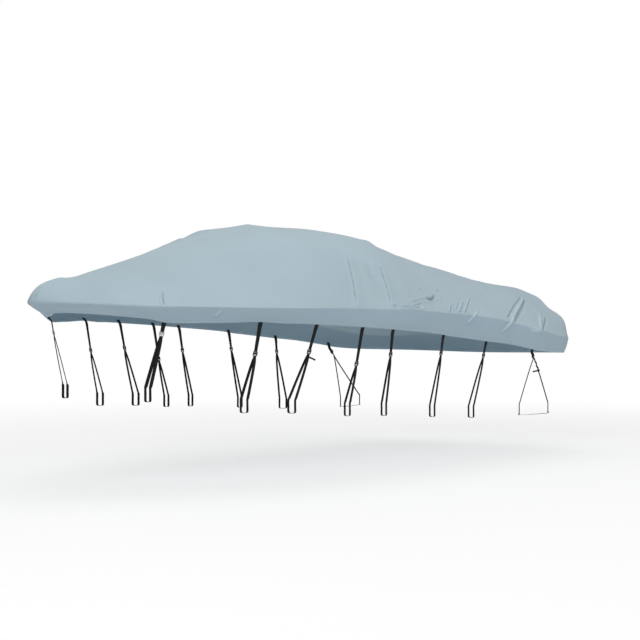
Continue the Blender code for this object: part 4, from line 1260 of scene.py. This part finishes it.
def cloth_finish(props):
    """Matt coated cloth: a fine even weave and slow clouding, with painted shade
    in the troughs of the creases, a painted highlight on their ridges, and
    painted shade, a little bluer, over the skirt below the skirt line."""
    f = Finish("coated_cloth", props.colour, 0.78, Sheen_Weight=0.18, Sheen_Roughness=0.45)
    u, v = f.coords("ClothUV")
    turn = 2 * math.pi / props.weave
    warp, weft = (u * turn).sine(), (v * turn).sine()
    weave = warp * weft
    slow = f.cloud(1.1, 4.0, 0.6)
    patch = f.cloud(7.0, 4.0, 0.6, (1, 1, 1.6))
    grain = f.cloud(90.0, 3.0, 0.7)
    fold = f.add("ShaderNodeAttribute", {"attribute_name": "crease"}, out="Fac")
    trough = (0.0 - fold).between(0.0008, 0.0090)
    ridge = fold.between(0.0012, 0.0085)
    pale = tinted(props.colour, 1.03)
    dull = tuple(c * k for c, k in zip(props.colour, (0.96, 0.965, 0.97)))
    colour = f.blend(slow.between(0.30, 0.72), dull, pale)
    colour = f.blend(patch.between(0.35, 0.75) * 0.25, colour, dull)
    colour = f.blend(grain.between(0.4, 0.8) * 0.30, colour, tinted(props.colour, 1.07))
    # painted shade: the creases' troughs are darkened towards 0.60 of the cloth's colour; painted
    # highlight: their ridges are lightened towards 1.25 of it
    colour = f.blend(trough * 0.65, colour, tinted(props.colour, 0.60))
    colour = f.blend(ridge * 0.60, colour, tinted(props.colour, 1.25))
    # painted shade: below the skirt line the cloth's colour is darkened and turned a little bluer,
    # as for a skirt that faces down
    below = (0.0 - v).between(-0.004, 0.010)
    skirt = f.blend(1.0, colour, tuple(props.skirt_painted_shade), "MULTIPLY")
    f.set("Base Color", f.blend(below * 0.85, colour, skirt))
    f.set("Roughness", 0.70 + patch * 0.12)
    crumple = f.cloud(22.0, 5.0, 0.62)
    soft = f.bump(crumple, 0.0040, 0.30)
    f.set("Normal", f.bump(weave, 0.00016, 0.6, soft))
    return f.material


def webbing_finish(props):
    """Black woven webbing: ribs across it, a little worn in places."""
    f = Finish("webbing_black", props.web_colour, 0.62, Specular_IOR_Level=0.25)
    u, v = f.coords("WebUV")
    sway = (u * (2 * math.pi / WEB_RIB_WAVE)).sine() * 1.2
    ribs = (v * (2 * math.pi / WEB_RIB) + sway).sine()
    worn = f.cloud(55.0, 4.0, 0.6)
    light = tuple(min(1.0, c * 2.2 + 0.004) for c in props.web_colour)
    f.set("Base Color", f.blend(worn.between(0.45, 0.85) * 0.6, props.web_colour, light))
    f.set("Roughness", 0.52 + worn * 0.22)
    f.set("Normal", f.bump(ribs, 0.0004, 0.55))
    return f.material


def buckle_finish(props):
    """Black moulded plastic with a fine grain and pale scuffs."""
    f = Finish("buckle_moulded", props.buckle_colour, 0.42, Specular_IOR_Level=0.5)
    grain = f.cloud(900.0, 2.0, 0.6)
    scuff = f.cloud(70.0, 5.0, 0.7)
    light = tuple(c * 2.4 + 0.01 for c in props.buckle_colour)
    f.set("Base Color", f.blend(scuff.between(0.52, 0.80) * 0.6, props.buckle_colour, light))
    f.set("Roughness", 0.34 + scuff * 0.24)
    f.set("Normal", f.bump(grain, 0.0003, 0.35))
    return f.material


def metal_finish(props):
    """Bright metal with dull scuffs."""
    f = Finish("buckle_metal", props.metal_colour, 0.32, 1.0)
    scuff = f.cloud(120.0, 5.0, 0.7)
    dull = tinted(props.metal_colour, 0.72)
    f.set("Base Color", f.blend(scuff.between(0.42, 0.75), props.metal_colour, dull))
    f.set("Roughness", 0.24 + scuff * 0.26)
    f.set("Normal", f.bump(scuff, 0.0004, 0.3))
    return f.material


def thread_finish(props):
    """Thread in the cloth's colour, a little darker and fuzzy."""
    f = Finish("thread", tinted(props.colour, 0.86), 0.6)
    fuzz = f.cloud(1500.0, 2.0, 0.6)
    f.set("Base Color", f.blend(fuzz * 0.5, tinted(props.colour, 0.92), tinted(props.colour, 0.70)))
    f.set("Roughness", 0.5 + fuzz * 0.2)
    return f.material


def shared(name, maker, props):
    """The finish of this name, made once."""
    return bpy.data.materials.get(name) or maker(props)


# -------------------------------------------------------------- sizes to change
class BoatCoverCloth(bpy.types.PropertyGroup):
    """Sizes and colours of the cloth."""
    colour: FloatVectorProperty(name="Cloth colour", description="Coated cloth, in daylight",
                                subtype="COLOR", size=3, min=0.0, max=1.0,
                                default=(0.385, 0.492, 0.548))
    # painted shade: darkens the cloth below the skirt line and turns it a little bluer
    skirt_painted_shade: FloatVectorProperty(name="Skirt tint",
                                    description="Tone of the cloth below the skirt line",
                                    subtype="COLOR", size=3, min=0.0, max=1.0,
                                    default=(0.92, 0.955, 1.0))
    crease_bow: FloatProperty(name="Crease at the bow",
                              description="Radius of the skirt line's crease at the bow",
                              default=0.026, min=0.004, max=0.05, unit="LENGTH")
    crease_stern: FloatProperty(name="Crease at the stern",
                                description="Radius of the skirt line's crease aft",
                                default=0.0055, min=0.004, max=0.05, unit="LENGTH")
    fold_strength: FloatProperty(name="Fold strength", description="Depth of the fine creases",
                                 default=1.0, min=0.0, max=2.0, subtype="FACTOR")
    unevenness: FloatProperty(name="Unevenness", description="Depth of the slow waves in the cloth",
                              default=1.3, min=0.0, max=3.0, subtype="FACTOR")
    weave: FloatProperty(name="Weave", description="Spacing of the threads in the weave",
                         default=0.0018, min=0.0005, max=0.01, unit="LENGTH")
    hem_thick: FloatProperty(name="Hem", description="Thickness of the doubled hem",
                             default=0.0050, min=0.003, max=0.01, unit="LENGTH")
    stitch_pitch: FloatProperty(name="Stitch pitch", description="Spacing of the hem stitches",
                                default=0.0065, min=0.004, max=0.02, unit="LENGTH")


class BoatCoverTies(bpy.types.PropertyGroup):
    """Colours of the ties and their buckles."""
    web_colour: FloatVectorProperty(name="Webbing colour", description="Black webbing",
                                    subtype="COLOR", size=3, min=0.0, max=1.0,
                                    default=(0.0055, 0.0060, 0.0080))
    buckle_colour: FloatVectorProperty(name="Buckle colour", description="Moulded buckles",
                                       subtype="COLOR", size=3, min=0.0, max=1.0,
                                       default=(0.014, 0.014, 0.017))
    metal_colour: FloatVectorProperty(name="Metal colour", description="The bow tie's metal buckle",
                                      subtype="COLOR", size=3, min=0.0, max=1.0,
                                      default=(0.62, 0.63, 0.65))


class BoatCoverStage(bpy.types.PropertyGroup):
    """The floor, the light and the camera."""
    floor_colour: FloatVectorProperty(name="Floor colour", description="Pale floor",
                                      subtype="COLOR", size=3, min=0.0, max=1.0,
                                      default=(0.93, 0.93, 0.93))
    floor_radius: FloatProperty(name="Floor radius", description="Radius of the floor",
                                default=11.0, min=4.0, max=40.0, unit="LENGTH")
    focal_pixels: FloatProperty(name="Focal length",
                                description="Focal length in pixels of the picture",
                                default=1650.0, min=200.0, max=6000.0)
    horizon: FloatProperty(name="Horizon",
                           description="Height of the horizon, in pixels from the picture's top",
                           default=308.5, min=0.0, max=640.0)
    heading: FloatProperty(name="Heading",
                           description="Direction the camera looks in, from +Y towards +X",
                           default=math.radians(52.05), subtype="ANGLE", unit="ROTATION")
    eye: FloatVectorProperty(name="Camera place",
                             description="Camera place over the floor, from the bow tip",
                             subtype="TRANSLATION", size=3, default=(-7.33, -8.12, 1.25))
    key_power: FloatProperty(name="Key light",
                             description="Power of the large soft key light in watts",
                             default=590.0, min=0.0, max=20000.0)
    sky_top: FloatProperty(name="Sky above", description="Brightness of the sky overhead",
                           default=0.335, min=0.0, max=5.0)
    ground_glow: FloatProperty(name="Glow from below",
                               description="Brightness of the light from below",
                               default=0.85, min=0.0, max=5.0)
    sky_side: FloatProperty(name="Sky at the side",
                            description="Brightness of the sky at the horizon",
                            default=0.0, min=0.0, max=5.0)


# -------------------------------------------------------------------- operators
class BOATCOVER_OT_cloth(bpy.types.Operator):
    """Make the fitted cloth with its folds, and its hem stitching"""
    bl_idname = "boat_cover.cloth"
    bl_label = "Make the cloth"

    def execute(self, context):
        props = context.scene.boat_cover_cloth
        verts, faces, coords, crease, halves = build_cover(props)
        mesh = bpy.data.meshes.new("fitted_cloth")
        mesh.from_pydata(verts.tolist(), [], faces)
        uv = mesh.uv_layers.new(name="ClothUV")
        index = np.zeros(len(mesh.loops), dtype=np.int32)
        mesh.loops.foreach_get("vertex_index", index)
        uv.data.foreach_set("uv", coords[index].astype(np.float32).ravel())
        heights = mesh.attributes.new("crease", "FLOAT", "POINT")
        heights.data.foreach_set("value", crease.astype(np.float32))
        finish = shared("coated_cloth", cloth_finish, props)
        cloth = finish_object("fitted_cloth", mesh, finish, 60.0)
        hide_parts("cover_cloth")
        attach(cloth, "root")
        stitches = self.hem_stitches(halves, props)
        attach(stitches, "root")
        return {"FINISHED"}

    def hem_stitches(self, halves, props):
        """One row of stitches along the top of the hem's band."""
        length, width, height = HEM_STITCH
        bm = bmesh.new()
        for half in halves:
            hem, outer, normals = half["hem"], half["outer"], half["normals"]
            line, facing = np.zeros((hem.shape[1], 3)), np.zeros((hem.shape[1], 3))
            for i in range(hem.shape[1]):
                for c in range(3):
                    line[i, c] = np.interp(HEM_BAND, hem[:, i], outer[:, i, c])
                    facing[i, c] = np.interp(HEM_BAND, hem[:, i], normals[:, i, c])
            run = np.concatenate([[0.0], np.cumsum(np.linalg.norm(np.diff(line, axis=0), axis=1))])
            count = int(run[-1] / props.stitch_pitch)
            at = (np.arange(count) + 0.5) * run[-1] / count
            place = np.stack([np.interp(at, run, line[:, c]) for c in range(3)], axis=1)
            ahead = np.stack([np.interp(at + STITCH_AHEAD, run, line[:, c]) for c in range(3)],
                             axis=1)
            out = np.stack([np.interp(at, run, facing[:, c]) for c in range(3)], axis=1)
            for p, q, n in zip(place, ahead, out):
                along = Vector(q - p)
                if along.length < 1e-6:
                    continue
                along.normalize()
                normal = Vector(n).normalized()
                normal = (normal - along * normal.dot(along)).normalized()
                stitch(bm, Vector(p - ORIGIN) + normal * STITCH_OFF, along, normal,
                       props.stitch_pitch * length, width, height)
        return link_bmesh("hem_stitching", bm, shared("thread", thread_finish, props), angle=50.0)


class BOATCOVER_OT_hangers(bpy.types.Operator):
    """Make the doubled webbing hangers that are sewn inside the hem"""
    bl_idname = "boat_cover.hangers"
    bl_label = "Make the hangers"

    def execute(self, context):
        props = context.scene.boat_cover_ties
        finish = shared("webbing_black", webbing_finish, props)
        for side, word, name, row, hem in each_tie():
            obj = self.hanger(f"webbing_hanger_{word}_{name}", hem, side, row, finish)
            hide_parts(f"hanger_{word}_{name}")
            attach(obj, "root")
        return {"FINISHED"}

    def hanger(self, name, hem, side, row, finish):
        """Two layers that run up inside the hem and bend down to the buckle."""
        point, tangent, inward, rise = hem
        bend, down, width, inboard = tie_axes(hem, side, row)
        top = bend + rise * ((point - bend).dot(rise) + HANGER_UP)
        low = bend + down * row["hanger"]
        slant = abs(down.dot(tangent)) * HANGER_TOP / 2
        mid = bend + down * max(row["hanger"] * HANGER_TURN, slant + HANGER_PAST_SLANT)
        bm = bmesh.new()
        uv = bm.loops.layers.uv.new("WebUV")
        route = [top, top.lerp(bend, 0.75), bend.lerp(mid, 0.25), mid, low]
        centre = through(route, HANGER_STEPS)
        facing = through([inward, inward, (inward + inboard) / 2, inboard, inboard], HANGER_STEPS)
        wide = through([[HANGER_TOP], [HANGER_TOP], [HANGER_TOP * 0.99],
                        [(HANGER_TOP + HANGER_LOW) / 2], [HANGER_LOW]], HANGER_STEPS)[:, 0]
        layer = HANGER_THICK / 2
        for sign, share in HANGER_LAYERS:
            path = [Vector(c) + Vector(n).normalized() * (sign * layer / 2)
                    for c, n in zip(centre, facing)]
            ribbon(bm, uv, path, facing, wide * share, layer * HANGER_LAYER_THICK)
        for share in HANGER_SEAMS:
            sew_across(bm, low.lerp(mid, share), width, inboard, 3, HANGER_SEAM_PITCH,
                       HANGER_THICK / 2)
        return link_bmesh(name, bm, finish, angle=45.0)


class BOATCOVER_OT_buckles(bpy.types.Operator):
    """Make the buckles that join the hangers to the looped ties"""
    bl_idname = "boat_cover.buckles"
    bl_label = "Make the buckles"

    def execute(self, context):
        props = context.scene.boat_cover_ties
        for side, word, name, row, hem in each_tie():
            finish = (shared("buckle_metal", metal_finish, props) if name in METAL_BUCKLES
                      else shared("buckle_moulded", buckle_finish, props))
            obj = self.buckle(f"cam_buckle_{word}_{name}", hem, side, row, finish)
            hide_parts(f"buckle_{word}_{name}")
            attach(obj, "root")
        return {"FINISHED"}

    def buckle(self, name, hem, side, row, finish):
        """Two side rails, three bars for the webbing, a ribbed cam lever over
        it and a flat pad under it."""
        bend, down, width, inboard = tie_axes(hem, side, row)
        start = bend + down * (row["hanger"] + AIR)
        out = -inboard
        frame_axes = Matrix((width, down, out)).transposed().to_4x4()
        base = Matrix.Translation(start) @ frame_axes
        bm = bmesh.new()
        rail = BUCKLE_WIDTH / 2 - RAIL_SIZE[0] / 2
        for x in (-rail, rail):
            rounded_box(bm, base @ Matrix.Translation((x, BUCKLE_HEIGHT / 2, 0)),
                        RAIL_SIZE, RAIL_ROUND)
        for y, radius in BARS:
            bar(bm, base @ Matrix.Translation((0, y, 0)), BAR_LENGTH, radius, BAR_FLAT)
        tilt = Matrix.Rotation(LEVER_TILT, 4, "X")
        rounded_box(bm, base @ Matrix.Translation(LEVER_PLACE) @ tilt, LEVER_SIZE, LEVER_ROUND)
        for y, z in RIBS:
            bar(bm, base @ Matrix.Translation((0, y, z)), RIB_LENGTH, RIB_RADIUS, 1.0, 6)
        rounded_box(bm, base @ Matrix.Translation(PAD_PLACE), PAD_SIZE, PAD_ROUND)
        return link_bmesh(name, bm, finish, angle=35.0)


class BOATCOVER_OT_ties(bpy.types.Operator):
    """Make the looped webbing ties and their loose ends"""
    bl_idname = "boat_cover.ties"
    bl_label = "Make the ties"

    def execute(self, context):
        props = context.scene.boat_cover_ties
        finish = shared("webbing_black", webbing_finish, props)
        for side, word, name, row, hem in each_tie():
            tail = TAILS.get(name) if side < 0 else None
            obj = self.tie(f"webbing_tie_{word}_{name}", hem, side, row, tail, finish)
            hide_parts(f"tie_{word}_{name}")
            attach(obj, "root")
        return {"FINISHED"}

    def tie(self, name, hem, side, row, tail, finish):
        """A closed loop whose ends are sewn together below the buckle."""
        bend, down, width, inboard = tie_axes(hem, side, row)
        part, route = loop_route(hem, side, row)
        neck = bend + down * (row["hanger"] + 2 * AIR + BUCKLE_HEIGHT)
        lap = inboard * (WEB_THICK / 2)
        points = ([neck - lap, neck.lerp(part, 0.6) - lap] + [p for p, n in route]
                  + [neck.lerp(part, 0.6) + lap, neck + lap])
        facing = [-inboard, -inboard] + [n for p, n in route] + [inboard, inboard]
        bm = bmesh.new()
        uv = bm.loops.layers.uv.new("WebUV")
        path = through(points, TIE_STEPS)
        faces_to = through(facing, TIE_STEPS)
        wide = np.full(len(path), row["web"])
        ribbon(bm, uv, path, faces_to, wide, WEB_THICK)
        for share in TIE_SEAMS:
            sew_across(bm, neck.lerp(part, share), width, inboard, 2,
                       row["web"] * TIE_SEAM_PITCH, WEB_THICK)
        if tail:
            tail = dict(zip(TAIL_COLUMNS, tail))
            self.loose_end(bm, uv, tail, part, route[1][0] - part, -inboard)
        return link_bmesh(name, bm, finish, angle=45.0)

    def loose_end(self, bm, uv, tail, part, leg, out):
        """A loose end: it leaves the webbing, arches a little and droops."""
        way = leg.normalized()
        at = part + way * (tail["below"] - LOOP_NECK)
        if tail["doubled"]:
            self.doubled(bm, uv, part, at, way, out)
        run = Vector((tail["aft"], 0, -tail["down"])) + out * tail["out"]
        run.normalize()
        across = Vector((0, 0, 1)) - run * run.z
        across.normalize()
        face = run.cross(across)
        path = []
        for k in range(TAIL_POINTS):
            t = k / (TAIL_POINTS - 1)
            p = at + run * (tail["length"] * t) + out * (TAIL_ARCH * math.sin(math.pi * t))
            path.append(p + Vector((0, 0, -TAIL_DROOP)) * t * t)
        ribbon(bm, uv, path, [face] * TAIL_POINTS, np.full(TAIL_POINTS, TAIL_WIDTH), WEB_THICK)
        end = path[-1]
        fold = [end - run * TAIL_FOLD + face * WEB_THICK,
                end - run * (TAIL_FOLD / 2) + face * WEB_THICK,
                end - run * 0.0005 + face * WEB_THICK * 0.9]
        ribbon(bm, uv, fold, [face] * 3, np.full(3, TAIL_WIDTH * 0.97), WEB_THICK)

    def doubled(self, bm, uv, part, at, way, out):
        """A second layer, a little slack, from the neck down to its slide."""
        side = way.cross(out).normalized()
        (slack_out, rate_out), (slack_side, rate_side) = DOUBLED_SLACK
        path = []
        for k in range(DOUBLED_POINTS):
            down = way * ((at - part).length * k / (DOUBLED_POINTS - 1))
            path.append(part + down + out * (DOUBLED_OFF + slack_out * math.sin(k * rate_out))
                        + side * (slack_side * math.sin(k * rate_side)))
        ribbon(bm, uv, path, [out] * DOUBLED_POINTS,
               np.full(DOUBLED_POINTS, TAIL_WIDTH * DOUBLED_WIDTH), WEB_THICK)
        turn = Matrix((side, way, out)).transposed().to_4x4()
        place = Matrix.Translation(at + out * DOUBLED_OFF)
        rounded_box(bm, place @ turn, SLIDE_SIZE, SLIDE_ROUND)


class BOATCOVER_OT_stage(bpy.types.Operator):
    """Set the pale floor, the soft light and the camera"""
    bl_idname = "boat_cover.stage"
    bl_label = "Set the stage"

    def execute(self, context):
        props = context.scene.boat_cover_stage
        self.floor(props)
        self.sky(context.scene, props)
        self.lamps(props)
        self.camera(context.scene, props)
        context.scene.view_settings.view_transform = "Standard"
        context.scene.view_settings.look = "None"
        return {"FINISHED"}

    def floor(self, props):
        """A pale disc that fades into the white sky towards its rim."""
        bm = bmesh.new()
        bmesh.ops.create_circle(bm, cap_ends=True, segments=96, radius=props.floor_radius)
        mesh = bpy.data.meshes.new("floor")
        bm.to_mesh(mesh)
        bm.free()
        floor = bpy.data.objects.new("floor", mesh)
        floor.location = (*FLOOR_CENTRE, -ORIGIN[2])
        bpy.context.scene.collection.objects.link(floor)
        f = Finish("pale_floor", props.floor_colour, 0.9, Specular_IOR_Level=0.1)
        dust = f.cloud(2.0, 4.0, 0.6)
        f.set("Base Color", f.blend(dust * 0.3, props.floor_colour,
                                    tinted(props.floor_colour, 0.985)))
        place = f.place()
        radius = f.add("ShaderNodeVectorMath", {"operation": "LENGTH"}, {0: place}, out="Value")
        first, last, fade = FLOOR_FADE
        edge = (radius.between(props.floor_radius * first, props.floor_radius * last) * fade
                + (1 - fade))
        clear = f.add("ShaderNodeBsdfTransparent")
        mixed = f.add("ShaderNodeMixShader", {},
                      {0: edge, 1: Tone(f.tree, f.shader.outputs[0]), 2: clear})
        out = f.tree.nodes["Material Output"]
        f.tree.links.new(mixed.socket, out.inputs["Surface"])
        mesh.materials.append(f.material)

    def sky(self, scene, props):
        """White to the eye, and a soft light that is stronger overhead."""
        world = bpy.data.worlds.new("soft_sky")
        world.use_nodes = True
        scene.world = world
        tree = world.node_tree
        light = tree.nodes["Background"]
        place = add_node(tree, "ShaderNodeTexCoord", out="Generated")
        split = add_node(tree, "ShaderNodeSeparateXYZ", {}, {0: place}, out=2)
        rise = split.between(-0.05, 0.9)
        fall = (0.0 - split).between(0.0, 0.5)
        tone = rise * (props.sky_top - props.sky_side) + props.sky_side + fall * props.ground_glow
        tree.links.new(tone.socket, light.inputs["Strength"])
        light.inputs["Color"].default_value = (0.985, 0.995, 1.0, 1.0)
        white = add_node(tree, "ShaderNodeBackground", {}, {"Color": (1, 1, 1, 1), "Strength": 1.0})
        seen = add_node(tree, "ShaderNodeLightPath", out="Is Camera Ray")
        mixed = add_node(tree, "ShaderNodeMixShader", {},
                         {0: seen, 1: Tone(tree, light.outputs[0]), 2: white})
        tree.links.new(mixed.socket, tree.nodes["World Output"].inputs["Surface"])

    def lamps(self, props):
        """Large soft lamps, all turned to the middle of the cover."""
        for name, values in LAMPS.items():
            row = dict(zip(LAMP_COLUMNS, values))
            light = bpy.data.lights.new(name, "AREA")
            light.size = row["size"]
            light.energy = props.key_power * row["share"]
            obj = bpy.data.objects.new(name, light)
            obj.location = row["place"]
            aim = Vector(LAMP_AIM) - Vector(row["place"])
            obj.rotation_euler = aim.to_track_quat("-Z", "Y").to_euler()
            bpy.context.scene.collection.objects.link(obj)

    def camera(self, scene, props):
        """The camera, tipped so that the horizon lies where it should."""
        data = bpy.data.cameras.new("camera")
        data.sensor_width = SENSOR
        data.lens = props.focal_pixels / PIXEL * SENSOR
        data.clip_end = 200.0
        camera = bpy.data.objects.new("camera", data)
        camera.location = Vector(props.eye) - Vector(ORIGIN)
        drop = math.atan((PIXEL / 2 - props.horizon) / props.focal_pixels)
        camera.rotation_euler = (math.radians(90) - drop, 0.0, -props.heading)
        scene.collection.objects.link(camera)
        scene.camera = camera


class BOATCOVER_PT_panel(bpy.types.Panel):
    """Sizes, colours and makers of the boat cover"""
    bl_idname = "BOATCOVER_PT_panel"
    bl_label = "Boat Cover"
    bl_space_type = "VIEW_3D"
    bl_region_type = "UI"
    bl_category = "Boat Cover"

    def draw(self, context):
        scene = context.scene
        for title, group, operators in (
                ("Cloth", scene.boat_cover_cloth, (BOATCOVER_OT_cloth,)),
                ("Ties", scene.boat_cover_ties,
                 (BOATCOVER_OT_hangers, BOATCOVER_OT_buckles, BOATCOVER_OT_ties)),
                ("Stage", scene.boat_cover_stage, (BOATCOVER_OT_stage,))):
            box = self.layout.box()
            box.label(text=title)
            for key in group.__annotations__:
                box.prop(group, key)
            for op in operators:
                box.operator(op.bl_idname)


GROUPS = {"boat_cover_cloth": BoatCoverCloth, "boat_cover_ties": BoatCoverTies,
          "boat_cover_stage": BoatCoverStage}
OPERATORS = (BOATCOVER_OT_stage, BOATCOVER_OT_cloth, BOATCOVER_OT_hangers,
             BOATCOVER_OT_buckles, BOATCOVER_OT_ties)


def register():
    for name, group in GROUPS.items():
        bpy.utils.register_class(group)
        setattr(bpy.types.Scene, name, PointerProperty(type=group))
    for cls in (*OPERATORS, BOATCOVER_PT_panel):
        bpy.utils.register_class(cls)


def unregister():
    for cls in (BOATCOVER_PT_panel, *reversed(OPERATORS)):
        bpy.utils.unregister_class(cls)
    for name, group in GROUPS.items():
        delattr(bpy.types.Scene, name)
        bpy.utils.unregister_class(group)


def main():
    register()
    bpy.ops.boat_cover.stage()
    bpy.ops.boat_cover.cloth()
    bpy.ops.boat_cover.hangers()
    bpy.ops.boat_cover.buckles()
    bpy.ops.boat_cover.ties()


if __name__ == "__main__":
    main()
